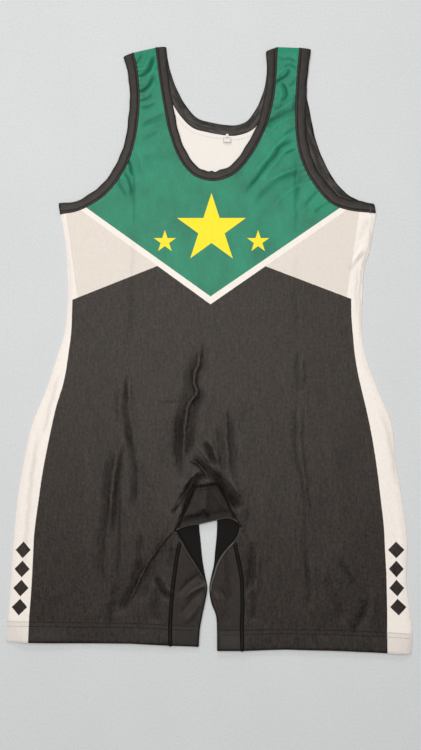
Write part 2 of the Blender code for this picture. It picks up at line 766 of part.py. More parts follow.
def back_panel(group):
    left, right = side_lines()
    left_gap = upright(left_gap_x, HEMS[0].left, LEFT_GAP_TOP)
    right_gap = upright(right_gap_x, HEMS[0].right, RIGHT_GAP_TOP)
    loop = join(
        right,
        RIGHT_ARM_LINE_BACK[::-1],
        NECK_LINE_BACK[::-1],
        LEFT_ARM_LINE,
        left[::-1],
        hem_line(left[0][0], left_gap[0][0], "left"),
        left_gap,
        right_gap[::-1],
        hem_line(right_gap[0][0], right[0][0], "right"),
    )

    def floor(x, y):
        return np.zeros_like(x)

    def inside(x, y):
        return np.full_like(x, CLOTH)

    cloth_piece("back_panel", loop, np.empty((0, 2)), BACK_SPACING, floor, inside, INSIDE_WHITE, group)


def crotch_gusset(group):
    top = np.array([GUSSET_LEFT[0], GUSSET_RIGHT[0]])
    roll = spline(GUSSET_ROLL, FINE_STEP)
    loop = join(
        resample(top, FINE_STEP),
        spline(GUSSET_RIGHT, FINE_STEP),
        roll[::-1],
        spline(GUSSET_LEFT, FINE_STEP)[::-1],
    )
    guides = roll[1:-1] + line_normals(roll)[1:-1] * ROLL_ROUND * ROLL_GUIDE
    below, above = wall_faces(gusset_middle)
    cloth_piece("crotch_gusset", loop, guides, GUSSET_SPACING, below, above, BLACK_KNIT, group)


def inner_leg(side, group):
    """Strip inside one leg: high beside the inseam, turned down to the back cloth."""
    roll = spline(GUSSET_ROLL, FINE_STEP)
    if side == "left":
        seam = inseam_edge("left", -HALF_SEAM)
        gap = upright(left_gap_x, HEMS[0].left, LEFT_STRIP_TOP)
        roll_x, towards_gap = left_roll_x, 1.0
    else:
        seam = inseam_edge("right", HALF_SEAM)
        gap = upright(right_gap_x, HEMS[0].right, RIGHT_STRIP_TOP)
        roll_x, towards_gap = right_roll_x, -1.0
        roll = roll[::-1]
    under = [p for p in roll if towards_gap * (gap[-1][0] - p[0]) > STRIP_TIP]
    loop = join(
        seam,
        roll_to_corner(side),
        np.array(under[1:]),
        gap[::-1],
        hem_line(gap[0][0], seam[0][0], side),
    )
    guides = thigh_guides(roll_x, towards_gap)
    below, above = wall_faces(strip_middle)
    cloth_piece("inner_leg_" + side, loop, guides, STRIP_SPACING, below, above, BLACK_KNIT, group)


def inseam(side, group):
    """Thick flat seam, its ends a little past the hem and at the roll."""
    outer = inseam_edge(side, HALF_SEAM - 0.5 * SEAM_GAP)
    inner = inseam_edge(side, -HALF_SEAM + 0.5 * SEAM_GAP)
    sections = []
    for a, b in zip(outer, inner):
        z = float(front_middle(*(0.5 * (a + b)))) + INSEAM_RISE
        sections.append(
            band_section(to_frame(*a, z), to_frame(*b, z), Vector((0, 0, 1)), INSEAM_THICK)
        )
    loft("inseam_" + side, sections, False, SEAM_THREAD, group)


def size_label(group):
    """Small bare label lying on the inside of the back, under its binding."""
    bpy.ops.mesh.primitive_cube_add(size=1.0)
    made = bpy.context.active_object
    made.name = "size_label"
    made.data.name = "size_label"
    made.data.transform(Matrix.Diagonal((*LABEL_SIZE, 1.0)))
    made.location = to_frame(*LABEL_CENTRE, CLOTH + SEAM_GAP + 0.5 * LABEL_SIZE[2])
    made.data.materials.append(material("size_label_cloth", LABEL_WHITE))
    for other in list(made.users_collection):
        other.objects.unlink(made)
    group.objects.link(made)


def main():
    clear_scene()
    group = new_collection("wrestling_singlet")
    back_panel(group)
    front_panel(group)
    crotch_gusset(group)
    for side in ("left", "right"):
        inner_leg(side, group)
        inseam(side, group)
    neck_turns = (LEFT_NECK_TURN, RIGHT_NECK_TURN)
    neck_widths = (NECK_BINDING_WIDTH, BACK_NECK_BINDING_WIDTH)
    binding_loop("neck_binding", NECK_LINE, NECK_LINE_BACK, neck_widths, neck_turns, 1.0, group)
    left_widths = (LEFT_ARM_BINDING_WIDTH, LEFT_ARM_BINDING_WIDTH)
    left_turns = (LEFT_SHOULDER_TURN, LEFT_ARMPIT_TURN)
    left_lines = (LEFT_ARM_LINE, LEFT_ARM_LINE)
    binding_loop("armhole_binding_left", *left_lines, left_widths, left_turns, -1.0, group)
    right_widths = (RIGHT_ARM_BINDING_WIDTH, RIGHT_ARM_BINDING_WIDTH)
    right_turns = (RIGHT_SHOULDER_TURN, RIGHT_ARMPIT_TURN)
    right_lines = (RIGHT_ARM_LINE, RIGHT_ARM_LINE_BACK)
    binding_loop("armhole_binding_right", *right_lines, right_widths, right_turns, 1.0, group)
    size_label(group)


main()
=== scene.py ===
import math

import bmesh
import bpy
import numpy as np
from mathutils import Matrix, Vector, kdtree


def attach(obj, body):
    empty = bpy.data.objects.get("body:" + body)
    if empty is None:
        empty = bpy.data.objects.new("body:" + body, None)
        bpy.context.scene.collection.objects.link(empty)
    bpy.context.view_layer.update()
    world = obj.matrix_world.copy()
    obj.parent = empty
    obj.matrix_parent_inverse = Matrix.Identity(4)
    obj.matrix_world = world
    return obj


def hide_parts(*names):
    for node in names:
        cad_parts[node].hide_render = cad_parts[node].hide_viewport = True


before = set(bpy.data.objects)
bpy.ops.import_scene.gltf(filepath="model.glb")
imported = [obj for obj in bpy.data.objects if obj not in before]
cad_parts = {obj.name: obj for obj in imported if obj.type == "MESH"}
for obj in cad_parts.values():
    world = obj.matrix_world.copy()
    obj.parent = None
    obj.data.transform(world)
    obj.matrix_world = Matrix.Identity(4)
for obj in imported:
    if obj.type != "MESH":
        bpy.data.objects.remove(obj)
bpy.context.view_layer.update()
print("frame loaded:", len(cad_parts), "nodes")

# Lengths are metres. Outlines are in millimetres: out from the suit's centre line, up from its lowest hem.
# Folds and print are in picture points of 1.4 mm, counted from the top left corner of the camera's view.
picturePoint = 0.0014

suit = {  # how the suit lies: raise these to fill it out, lower them to press it flat
    "centreX": 0.0020,       # the suit's centre line in the frame
    "hemY": -0.42475,        # its lowest hem in the frame
    "wall": 0.0008,          # thickness of the knit
    "backTop": 0.0010,       # top of the cloth of the back
    "frontLie": 0.0034,      # middle of the front cloth above the floor
    "edgeLie": 0.0015,       # the same at the side seams and the shoulder folds
    "edgeRound": 0.011,      # how far in from an edge the cloth rounds over
    "bellyLift": 0.0010,
    "crotchLift": 0.0034,
    "crotchAt": (-0.003, 0.185),
    "crotchReach": 0.105,
    "thighTurn": 0.0045,     # width of the turned edge inside each leg
    "rippleHeight": 0.00022,
    "hemExtra": 0.0002,
    "hemLift": 0.0024,       # how far the hem stands off the cloth of the back
    "hemDepth": 0.0245,
}
suitOrigin = np.array([suit["centreX"], suit["hemY"]])

outline = {
    "frontNeck": [
        (-77.1, 848.4), (-72.7, 810.6), (-65.5, 766.5), (-59.1, 733.6), (-44.7, 694.4), (-24.6, 669.9),
        (3, 661.5), (31.5, 669.9), (55.3, 694.8), (76.6, 733.6), (87.4, 770), (91.7, 802.2), (94.2, 849),
    ],
    "backNeck": [
        (-77.1, 848.4), (-74.5, 828.8), (-65.7, 796.6), (-54.3, 771.2), (-39.7, 750), (-24, 735.7),
        (-3.5, 729.4), (16.1, 726.2), (35.7, 725), (57.8, 732.2), (73.5, 750.4), (85, 772.8),
        (91.7, 796.6), (93.8, 824.6), (94.2, 849),
    ],
    "leftArm": [
        (-107.4, 841.4), (-102.1, 820.4), (-98.8, 784), (-100.2, 749), (-106.5, 712.6), (-115.5, 686),
        (-131.6, 659.4), (-149.4, 639.8), (-170.8, 625.8), (-188.7, 618.2), (-210, 615),
    ],
    "rightArm": [
        (123.9, 848), (121.1, 820.4), (118.7, 784), (117.8, 756), (119.6, 722.4), (123.9, 698.6),
        (134.7, 672), (152.6, 645.4), (166.9, 631), (181.3, 623.6), (200.9, 619), (231.1, 616.4),
    ],
    "rightArmBack": [
        (123.9, 848), (121.1, 820.4), (119.2, 784), (122.5, 762), (130.9, 721), (140.7, 691.6),
        (154.7, 663.6), (170.1, 642.6), (185.5, 628.6), (209.3, 618), (231.1, 616.4),
    ],
    "gussetLeft": [(-23.1, 234.5), (-30.5, 215.6), (-39.2, 195), (-48.4, 173)],
    "gussetRight": [(13.3, 239.4), (22.4, 219), (32.6, 196), (42, 177.8)],
    "gussetRoll": [
        (-48.4, 173), (-38.8, 177.6), (-26.3, 181), (-15.7, 182.4), (-1.5, 185.6), (9.1, 188),
        (21.7, 190.5), (30.1, 189.3), (37.5, 184.6), (42, 177.8),
    ],
}

sides = [  # height, then how far out the left and the right side lie
    (0, 287.5, 280.7), (28, 285.2, 282), (61.6, 281.8, 278.2), (103.6, 278.6, 273.6), (159.6, 275, 274.7),
    (215.6, 269.8, 267.5), (271.6, 260.3, 258.6), (320.6, 249.3, 253), (369.6, 229.7, 234.1),
    (411.6, 215.6, 218.4), (453.6, 203.1, 211.4), (509.6, 199.2, 212.8), (538, 200.4, 214.4),
    (551.6, 201, 217.6), (562.8, 201.5, 221.9), (583, 204, 225.6),
    (616, 210, 231.4),
]
hems = [  # share of the way out from the gap, then the height of the left and the right hem
    (0, 11.2, 5.6), (0.15, 12.6, 5.7), (0.35, 15.8, 7.2), (0.6, 16, 5.8), (0.85, 16.9, 2.8), (1, 17.6, 0),
]
thighs = [  # height, left turned edge, left gap edge, right gap edge, right turned edge
    (0, -21.6, -17.1, 9.2, 13.7), (33.6, -19.5, -15, 9, 13.5), (54.6, -16, -11.5, 7.7, 12.2),
    (72.8, -12.2, -7.7, 1, 5.5), (92.4, -9, -4.5, -1.7, 2.8), (109.2, -12.8, -7.3, 1.1, 5.6),
    (126, -21.3, -10.4, 4.9, 9.4), (142.8, -31.8, -12.5, 6.3, 19), (160, -41.2, -14, 8.1, 34.3),
    (168, -45.7, -15, 8.8, 39.2), (177.8, -51.2, -15.8, 9.2, 42),
]
inseams = [  # height, then the middle of the left and the right inseam
    (4, -56, 44.5), (40, -56.3, 43.7), (62, -55.3, 44.5), (86, -53.4, 44.4), (111, -50.4, 43),
    (133, -47.6, 38.7), (147, -45, 35.7), (157.5, -42.4, 33.6),
]


def smoothCurve(places, step):
    knots = np.array(places, float)
    ends = np.vstack([2 * knots[0] - knots[1], knots, 2 * knots[-1] - knots[-2]])
    dense = []
    for before, start, stop, after in zip(ends, ends[1:], ends[2:], ends[3:]):
        span = np.linalg.norm(stop - start)
        slopeIn = (stop - before) * span / (span + np.linalg.norm(start - before))
        slopeOut = (after - start) * span / (span + np.linalg.norm(after - stop))
        t = np.linspace(0, 1, 24, endpoint=False)[:, None]
        dense.append(
            (2 * t**3 - 3 * t**2 + 1) * start + (t**3 - 2 * t**2 + t) * slopeIn
            + (3 * t**2 - 2 * t**3) * stop + (t**3 - t**2) * slopeOut
        )
    return evenly(np.vstack(dense + [knots[-1:]]), step)


def travelOf(line):
    return np.concatenate([[0], np.cumsum(np.linalg.norm(np.diff(line, axis=0), axis=1))])


def evenly(line, step):
    travel = travelOf(line)
    marks = np.linspace(0, travel[-1], max(2, int(round(travel[-1] / step)) + 1))
    return np.column_stack([np.interp(marks, travel, line[:, axis]) for axis in range(line.shape[1])])


def millimetres(name, step=0.002):
    return smoothCurve(np.array(outline[name]) / 1000, step)


def acrossAt(rows, column, sign=1):
    curve = smoothCurve([(sign * row[column] / 1000, row[0] / 1000) for row in rows], 0.002)
    order = np.argsort(curve[:, 1])
    return lambda y: np.interp(y, curve[order, 1], curve[order, 0])


leftSideX, rightSideX = acrossAt(sides, 1, -1), acrossAt(sides, 2)
leftRollX, leftGapX, rightGapX, rightRollX = (acrossAt(thighs, i) for i in (1, 2, 3, 4))
leftInseamX, rightInseamX = acrossAt(inseams, 1), acrossAt(inseams, 2)


def picture(px, py):  # a place in the picture, from the suit's centre line and hem
    return ((px - 210.5) * picturePoint, (654 - py) * picturePoint)


def climb(placeX, low, high, step=0.003):
    heights = np.linspace(low, high, 80)
    return evenly(np.column_stack([placeX(heights), heights]), step)


def hemHeight(x, side):
    column, gapX, sideX = (1, leftGapX, leftSideX) if side == "left" else (2, rightGapX, rightSideX)
    level = [row[column] / 1000 for row in hems]
    inner, outer = gapX(level[0]), sideX(level[-1])
    return np.interp((x - inner) / (outer - inner), [row[0] for row in hems], level)


def hemLine(x0, x1, side):
    across = np.linspace(x0, x1, 60)
    return evenly(np.column_stack([across, hemHeight(across, side)]), 0.003)


def unit(vectors):
    return vectors / np.maximum(np.linalg.norm(vectors, axis=-1, keepdims=True), 1e-12)


def leftNormals(line):
    along = unit(np.gradient(line, axis=0))
    return np.column_stack([-along[:, 1], along[:, 0]])


def moved(line, distance):  # a line moved to its own left
    return line + leftNormals(line) * distance


def ring(*lines):  # one closed outline, counter-clockwise
    points = np.vstack(lines)
    points = points[np.linalg.norm(points - np.roll(points, 1, axis=0), axis=1) > 0.0003]
    x, y = points[:, 0], points[:, 1]
    area = np.sum(x * np.roll(y, -1) - np.roll(x, -1) * y)
    return points if area > 0 else points[::-1]


def areaOf(loop):
    x, y = loop[:, 0], loop[:, 1]
    return 0.5 * abs(np.sum(x * np.roll(y, -1) - np.roll(x, -1) * y))


def soft(share):
    share = np.clip(share, 0, 1)
    return share * share * (3 - 2 * share)


def quarter(share):
    return np.sqrt(1 - (1 - np.clip(share, 0, 1)) ** 2)


def measure(x, y, line):  # distance from a line, which side of it, and how far along it, from 0 to 1
    start, run = line[:-1], np.diff(line, axis=0)
    lengths = np.sum(run * run, axis=1)
    gap, side, along = np.empty(len(x)), np.empty(len(x)), np.empty(len(x))
    for first in range(0, len(x), 8000):
        part = slice(first, first + 8000)
        p = np.column_stack([x[part], y[part]])[:, None, :]
        t = np.clip(np.sum((p - start) * run, axis=2) / lengths, 0, 1)
        away = p - (start + t[..., None] * run)
        reach = np.linalg.norm(away, axis=2)
        best = np.argmin(reach, axis=1)
        rows = np.arange(len(best))
        gap[part] = reach[rows, best]
        side[part] = np.sign(run[best, 0] * away[rows, best, 1] - run[best, 1] * away[rows, best, 0])
        along[part] = (best + t[rows, best]) / len(run)
    return gap, side, along


folds = [  # path in picture points, height in mm (a trough is negative), half width in mm, wider on its right
    # middle of the belly
    ([(200.5, 336), (199.8, 352), (199.3, 363), (194.6, 374), (195.6, 384.5), (197, 392.5),
      (191, 401), (187.3, 410), (185.4, 425), (184.2, 443), (184.6, 456), (188, 465)], 2.4, 4.2, 0.2),
    ([(195, 340), (193.5, 356), (188.6, 376), (187.3, 390), (182, 406),
      (177.6, 424), (177, 443), (178.2, 461), (182, 480)], -1.1, 5.6, 0),
    ([(182, 406), (177.6, 432), (177.8, 458), (182, 482)], -1.7, 4.8, 0),
    ([(204, 342), (203.8, 360), (203, 376)], -0.6, 4.4, 0),
    ([(197.8, 373), (197.4, 387)], -0.9, 2.0, 0),
    ([(204.5, 387), (199, 401), (194.6, 412), (192.4, 430), (190, 447), (187, 461)], -1.8, 4.4, 0),
    ([(214, 384), (208, 402), (203, 424), (201, 444)], 0.6, 5.5, 0),
    ([(166, 404), (164, 430), (167, 462)], 0.5, 6.5, 0),
    ([(244.8, 400), (244.5, 426)], -0.5, 4.0, 0),
    ([(266, 392), (267, 412)], -0.3, 3.4, 0),
    # above and beside the gusset
    ([(189, 458.5), (196.4, 462), (203.6, 470), (210, 479.5)], 2.6, 2.8, 0.1),
    ([(191, 452.5), (201.8, 464.5), (211, 472), (218.2, 481), (223.5, 491), (232.7, 503), (240, 515)], -3.0, 4.4, -0.2),
    ([(211, 469), (220.5, 481), (230, 494), (241, 510)], -3.2, 6.4, 0),
    ([(226, 474), (234, 485), (242, 498), (250, 518)], 1.1, 5.0, 0),
    ([(203, 441), (206.5, 447), (211, 455), (216, 467)], -2.2, 2.5, 0),
    ([(208, 439), (214.5, 451), (220, 464)], 1.2, 2.8, 0),
    ([(198, 446), (206, 456), (211, 464)], 0.9, 2.6, 0),
    ([(218.5, 424), (221, 450), (224, 478)], -1.2, 4.2, 0),
    ([(225.5, 396), (226.6, 440), (229, 474)], 0.9, 3.2, 0),
    ([(229, 410), (232, 445), (235, 486)], -1.2, 4.4, 0),
    ([(240, 430), (243, 470), (250, 500)], 0.6, 7.0, 0),
    ([(212, 473.5), (199, 478), (193, 486), (188, 498), (182, 515)], -3.4, 4.4, 0),
    ([(197, 478), (186, 492), (173.5, 510)], 1.7, 1.8, 0),
    ([(194, 479.5), (187.3, 487), (178.2, 503.5), (170.5, 516)], -2.1, 2.0, 0),
    ([(201, 469), (190, 478), (181, 489)], 1.0, 3.6, 0),
    ([(194, 490), (186, 505), (179, 521)], -1.4, 1.8, 0),
    ([(238, 490), (244, 506), (251, 528)], -1.1, 5.0, 0),
    ([(206, 478), (205, 495), (204, 516)], 1.2, 8.0, 0.25),
    ([(203, 508), (205.5, 513), (209, 517)], -1.3, 2.0, 0),
    ([(184, 517.5), (194, 515.5), (206, 512.5)], -1.2, 2.4, 0),
    ([(214, 492), (222, 503), (230, 513)], 0.5, 4.0, 0),
    # inside the legs
    ([(186, 600), (190, 593), (197, 588.5), (206.5, 585)], 0.8, 2.8, 0),
    ([(179, 616), (190, 602), (199, 593), (206.5, 588)], -0.8, 4.6, 0),
    ([(178, 596), (184, 587), (191, 580), (200, 573)], -1.2, 4.4, 0),
    ([(198, 570), (202, 578), (206, 585)], -1.2, 3.0, 0),
    ([(184, 624), (194, 612), (201, 598)], 0.7, 4.4, 0),
    ([(222, 552), (224, 575), (226, 604)], 0.6, 2.4, 0),
    ([(226, 552), (229, 578), (230, 608)], -0.8, 2.6, 0),
    ([(214, 590), (219, 602), (222, 620)], 0.8, 3.4, 0),
    ([(217, 584), (226, 600), (228, 626)], -0.8, 3.6, 0),
    # left leg
    ([(118, 436), (110.5, 464), (106.8, 482), (106.8, 499),
      (105, 516), (102.6, 536), (101, 560), (100.9, 600)], -1.9, 6.2, 0.15),
    ([(117.5, 446), (114, 474), (111.5, 495), (109, 526)], 0.8, 4.0, 0),
    ([(125, 439), (119.9, 461), (118.3, 475), (116.3, 488), (115.3, 505), (113.6, 523), (111, 546)], -1.8, 3.2, 0),
    ([(121, 480), (119.6, 500), (118.9, 516), (118.9, 540), (118, 560), (117.5, 581), (115.5, 596)], -0.8, 2.2, 0),
    ([(124, 486), (122, 520), (121.5, 568)], 0.6, 3.0, 0),
    ([(117.5, 580), (114.4, 596), (110, 613), (105, 632)], -1.6, 5.2, 0),
    ([(128, 420), (129, 438), (131, 452), (133.3, 466), (134.2, 482), (133, 499), (130, 516)], -1.5, 4.6, 0),
    ([(138, 448), (139, 480), (137, 510)], 0.6, 4.4, 0),
    ([(178, 524.5), (163.5, 540), (154, 553.5), (146.3, 564.6), (141, 576), (134.3, 589.5), (123, 610)], 2.1, 3.0, 0),
    ([(142, 556), (137.5, 570), (131.5, 588), (125.5, 600), (117, 616)], -2.5, 5.6, 0),
    ([(170, 538), (158, 553), (151, 570), (146, 585), (141, 606)], -2.0, 8.2, 0),
    ([(140, 532), (138.6, 552), (138, 574)], -1.3, 4.2, 0),
    ([(171, 546), (171.5, 556), (170, 570)], -0.8, 3.4, 0),
    ([(155, 573), (158.5, 584), (162, 591), (170, 601)], -1.8, 3.0, 0),
    ([(161, 574), (167, 586), (174, 596)], 0.9, 3.2, 0),
    ([(159, 586), (156.5, 602), (154, 626)], -1.5, 6.0, 0),
    ([(150, 578), (148, 598), (145, 622)], 0.6, 4.4, 0),
    ([(92, 430), (86, 480), (80, 530), (76, 590)], 0.5, 12.0, 0),
    ([(150, 430), (150, 480), (147, 520)], 0.5, 10.0, 0),
    ([(98, 396), (97, 440), (92, 484)], -0.4, 7.0, 0),
    ([(60, 480), (56, 540), (52, 600)], -0.3, 9.0, 0),
    ([(80, 550), (70, 590), (58, 616)], -0.5, 7.0, 0),
    ([(45, 600), (60, 592), (76, 588)], 0.3, 5.0, 0),
    # right leg
    ([(252.5, 540), (251.6, 560), (250.5, 574), (246, 596)], -2.1, 5.2, -0.1),
    ([(257.5, 546), (257, 575), (255, 600)], 0.9, 4.6, 0),
    ([(251.8, 588), (252.8, 602), (254, 622)], -1.5, 3.4, 0),
    ([(336, 556), (349, 574), (358, 587), (369, 601)], -1.1, 3.2, 0.3),
    ([(368, 596), (364.5, 611), (358, 625), (351, 636)], -2.1, 6.6, 0),
    ([(372, 588), (374, 606), (369, 624)], 0.7, 4.4, 0),
    ([(322, 574), (333, 596), (340, 612), (343, 628)], -1.4, 6.0, 0),
    ([(306, 540), (306.5, 566), (308.5, 584), (308, 618)], -0.9, 2.8, 0),
    ([(311, 556), (313, 590), (314, 624)], 0.7, 4.4, 0),
    ([(314, 632), (316, 640), (318, 648)], -0.5, 2.0, 0),
    ([(262, 470), (266, 520), (270, 570)], 0.4, 12, 0),
    ([(330, 430), (338, 490), (340, 540)], 0.4, 13, 0),
    # the folds in which it was packed
    ([(134, 168), (134.4, 228)], -0.5, 1.7, 0.2),
    ([(134, 225), (131, 300), (126, 360)], -0.4, 3.2, 0),
    ([(126.6, 373), (125.6, 387), (124.5, 402)], -0.7, 1.3, 0),
    ([(126, 388), (124.8, 402), (125.4, 418), (128, 436), (131, 454)], -0.8, 2.4, 0),
    ([(121, 378), (119.5, 400), (121, 425)], 0.7, 3.6, 0),
    ([(130, 376), (129.5, 404), (133, 436)], 1.0, 3.2, 0),
    ([(295.5, 150), (295.8, 240)], -0.5, 1.8, 0.2),
    ([(296, 240), (296.5, 350)], -0.25, 4.0, 0),
    ([(296.5, 350), (297, 372), (298.2, 391)], -0.6, 2.2, 0),
    ([(301.5, 356), (303, 384)], 0.7, 2.8, 0),
    ([(292, 385), (298.5, 389.5), (305, 387)], -0.35, 1.6, 0),
    ([(297.5, 388), (295.6, 418), (295.6, 450), (299.5, 472),
      (303.6, 490), (305.2, 510), (305.6, 535), (306, 562)], -0.6, 2.0, 0.2),
    ([(300, 400), (300, 440), (304, 478), (309, 520)], 0.8, 3.4, 0),
    ([(158, 401), (170, 402.5), (183, 402)], -0.35, 1.2, 0),
    # right strap and chest
    ([(299, 103.5), (292.3, 111), (286, 112.8), (277, 117.3), (270.5, 122), (266.5, 131)], -1.8, 3.3, 0.1),
    ([(298, 98), (290, 104), (280, 109), (271, 115)], 1.0, 2.7, 0),
    ([(297, 117), (287, 119), (278, 124), (271, 132)], 0.8, 2.8, 0),
    ([(298, 136), (293.8, 139.6), (287.7, 143.5), (280.8, 148), (276, 155),
      (269, 163), (261.5, 172.7), (252, 184), (244, 196)], -1.8, 2.7, 0.2),
    ([(295, 131), (284, 139), (275, 148), (267, 158), (254, 175)], 0.9, 2.8, 0),
    ([(297, 145), (288, 149.5), (281, 156), (274, 165), (262, 181)], 0.8, 2.7, 0),
    ([(297, 149), (290, 151.5), (284, 155)], -0.8, 1.5, 0),
    ([(307, 170), (302, 172.7), (295.4, 175), (286, 177.3),
      (277, 181), (270.8, 186.5), (263, 193.5), (254, 207)], -1.3, 4.1, 0),
    ([(303, 166), (291, 171), (281, 175), (268, 183)], 0.8, 3.0, 0),
    ([(304, 173), (299, 184), (297, 206)], -0.8, 3.0, 0),
    ([(310, 180), (296, 187), (283, 197), (272, 209)], 0.7, 3.0, 0),
    ([(281, 82), (285.8, 90), (286, 96), (281.5, 104)], -1.7, 2.1, 0.1),
    ([(278, 86), (281, 95), (277, 104)], 0.8, 2.0, 0),
    ([(284, 103), (279, 108), (273, 111)], -0.8, 2.2, 0),
    ([(290, 67), (286, 76.5), (280, 80.4), (274, 86)], -1.6, 2.3, 0),
    ([(285, 67), (279, 74), (276, 78)], 0.8, 2.0, 0),
    ([(297, 64), (290, 59.5), (284, 60), (277, 56)], -0.9, 1.8, 0),
    ([(298, 71), (291, 66), (283, 67)], -0.8, 1.7, 0),
    ([(297, 93), (294, 103), (296.5, 113)], -0.9, 2.2, 0),
    ([(296, 78), (292, 84.5), (287, 87)], -0.8, 1.8, 0),
    ([(263, 136), (254, 152), (243, 166), (234, 182)], -0.6, 4.4, 0),
    ([(301, 127), (292, 130), (284, 137)], -0.8, 2.1, 0),
    ([(270, 205), (262, 217), (256, 234)], -0.4, 3.9, 0),
    ([(319, 191), (311, 198), (305, 208)], -0.8, 2.2, 0),
    ([(331, 202), (322, 206), (314, 214)], -0.7, 2.2, 0),
    # left strap
    ([(155.5, 54), (153.3, 60), (149.6, 69.5), (143.5, 75), (137, 79)], -2.0, 2.9, 0.1),
    ([(157.5, 60), (153, 71), (146, 78)], 0.9, 2.2, 0),
    ([(151, 56), (146, 66), (140, 72)], 0.8, 2.2, 0),
    ([(155, 74), (152, 81), (148.6, 87), (144, 91), (137, 94.5)], -1.8, 2.5, 0.1),
    ([(157, 81), (152, 89), (145, 95)], 0.9, 2.2, 0),
    ([(153, 94), (147, 99), (139, 102)], -1.2, 2.2, 0),
    ([(156, 103), (148, 107), (140, 109)], -0.9, 2.0, 0),
    ([(143, 54), (138, 62), (133, 67)], -0.9, 2.0, 0),
    ([(167, 114), (154, 119), (140, 126)], -0.9, 2.7, 0),
    ([(163, 122), (152, 126), (142, 130)], 0.6, 2.7, 0),
    ([(159, 132), (150, 136), (141, 139)], -0.6, 2.8, 0),
    ([(127, 156), (130.3, 167), (133.5, 178)], -1.4, 2.1, 0),
    ([(124, 167), (128.4, 180), (133, 199)], -1.3, 2.4, 0),
    ([(121, 170), (126, 180), (130, 192)], 0.7, 2.1, 0),
    ([(114, 175), (120, 185), (128, 199)], -0.9, 2.3, 0),
    ([(136, 150), (142, 160), (143, 172)], 0.5, 3.5, 0),
    ([(136, 156), (139, 166), (141, 178)], -0.4, 2.8, 0),
    ([(141, 160), (150, 157), (162, 157), (174, 160)], -0.4, 4.4, 0),
    # sides
    ([(371.6, 209), (370, 233), (368.4, 248), (364, 259), (361, 275),
      (359.3, 292), (359.6, 314), (360.4, 336), (362, 352)], -0.36, 1.3, 0),
    ([(357, 262), (356.2, 290), (356.6, 320)], -0.3, 1.6, 0),
    ([(367.5, 251), (361, 256), (355.5, 262.5), (350, 273)], -0.8, 3.0, 0.2),
    ([(369, 216), (364, 228), (357, 242)], -0.5, 3.4, 0),
    ([(364, 244), (358, 252), (352, 262)], 0.6, 3.0, 0),
    ([(378, 405), (387, 430), (393, 460), (396, 490)], -0.6, 3.2, 0),
    ([(396, 500), (400, 550), (401, 600)], 0.3, 4.0, 0),
    ([(40, 425), (33, 470), (27, 530), (24, 580)], -0.6, 3.2, 0),
    ([(60, 372), (52, 400), (43, 440)], -0.5, 2.6, 0),
    ([(60, 390), (48, 425), (40, 460)], 0.3, 5.0, 0),
    ([(66, 240), (71, 290), (66, 340)], -0.3, 4.0, 0),
]

for index, (path, height, halfWidth, lean) in enumerate(folds):
    line = smoothCurve([picture(*place) for place in path], 0.003)
    folds[index] = {"line": line, "height": height / 1000, "width": halfWidth / 1000, "lean": lean}

waves = np.random.default_rng(12).uniform([-90, -40, 0, 0.4], [90, 40, 2 * math.pi, 1.0], (14, 4))


def ripple(x, y):  # slow unevenness of cloth that was smoothed out by hand
    total = sum(a * np.sin(kx * x + ky * y + phase) for kx, ky, phase, a in waves)
    return total * suit["rippleHeight"] / 2.5


def foldForms(x, y):
    # heights of the folds, and their shade: below 0 where a fold shuts out the light, above 0 on its crest
    heights, shades = np.zeros(len(x)), np.zeros(len(x))
    x = x + 0.0005 * np.sin(190 * y + 60 * x) + 0.0003 * np.sin(410 * y - 130 * x)
    y = y + 0.0005 * np.sin(170 * x - 70 * y)
    for fold in folds:
        line, width = fold["line"], fold["width"]
        reach = 3.0 * width
        low, high = line.min(axis=0) - reach, line.max(axis=0) + reach
        near = np.flatnonzero((x > low[0]) & (x < high[0]) & (y > low[1]) & (y < high[1]))
        if len(near) == 0:
            continue
        gap, side, along = measure(x[near], y[near], line)
        across = gap / (width * (1 - fold["lean"] * side))
        fade = soft(along / 0.24) * soft((1 - along) / 0.24)
        fade = fade * (0.88 + 0.12 * np.sin(along * (5 + 600 * width) + 900 * width + line[0][0] * 300))
        steep = min(0.9, 1.35 * abs(fold["height"]) / width)
        if fold["height"] > 0:  # a round ridge between low troughs
            shape = (1 - 0.45 * across**2) * hump(across, 1)
            shade = 0.7 * hump(across, 0.5) - 0.24 * hump(across - 1.4, 0.8)
        else:                   # a trough with a sharp bottom and wide shoulders
            shape = np.exp(-1.5 * (np.sqrt(across**2 + 0.06) - 0.245))
            shade = -hump(across, 0.95)
        heights[near] += fold["height"] * shape * fade
        shades[near] += steep * shade * fade
    return heights, shades


edges = {name: millimetres(name) for name in ("frontNeck", "backNeck", "leftArm", "rightArm", "rightArmBack")}
gussetSeams = [millimetres("gussetLeft"), millimetres("gussetRight")]
gussetTop = evenly(np.array([outline["gussetLeft"][0], outline["gussetRight"][0]]) / 1000, 0.003)
gussetRoll = millimetres("gussetRoll")
gussetDips = [(gussetSeams[0], 0.0011), (gussetSeams[1], 0.0011), (gussetTop, 0.0015)]  # seam, and how deep it lies
dipWidth = 0.0016


def hump(distance, width):  # 1 at the middle, falling off softly on both sides
    return np.exp(-((distance / width) ** 2))


def nearestSeam(x, y):
    return np.minimum.reduce([measure(x, y, line)[0] for line, _ in gussetDips])


def seamDips(x, y):  # cloth drawn down along the seams round the gusset
    total = np.zeros(len(x))
    near = np.flatnonzero((np.abs(x) < 0.08) & (y > 0.15) & (y < 0.27))
    for line, depth in gussetDips:
        gap = measure(x[near], y[near], line)[0]
        total[near] += depth * (0.35 * hump(gap - 2.2 * dipWidth, dipWidth) - hump(gap, dipWidth))
    return total


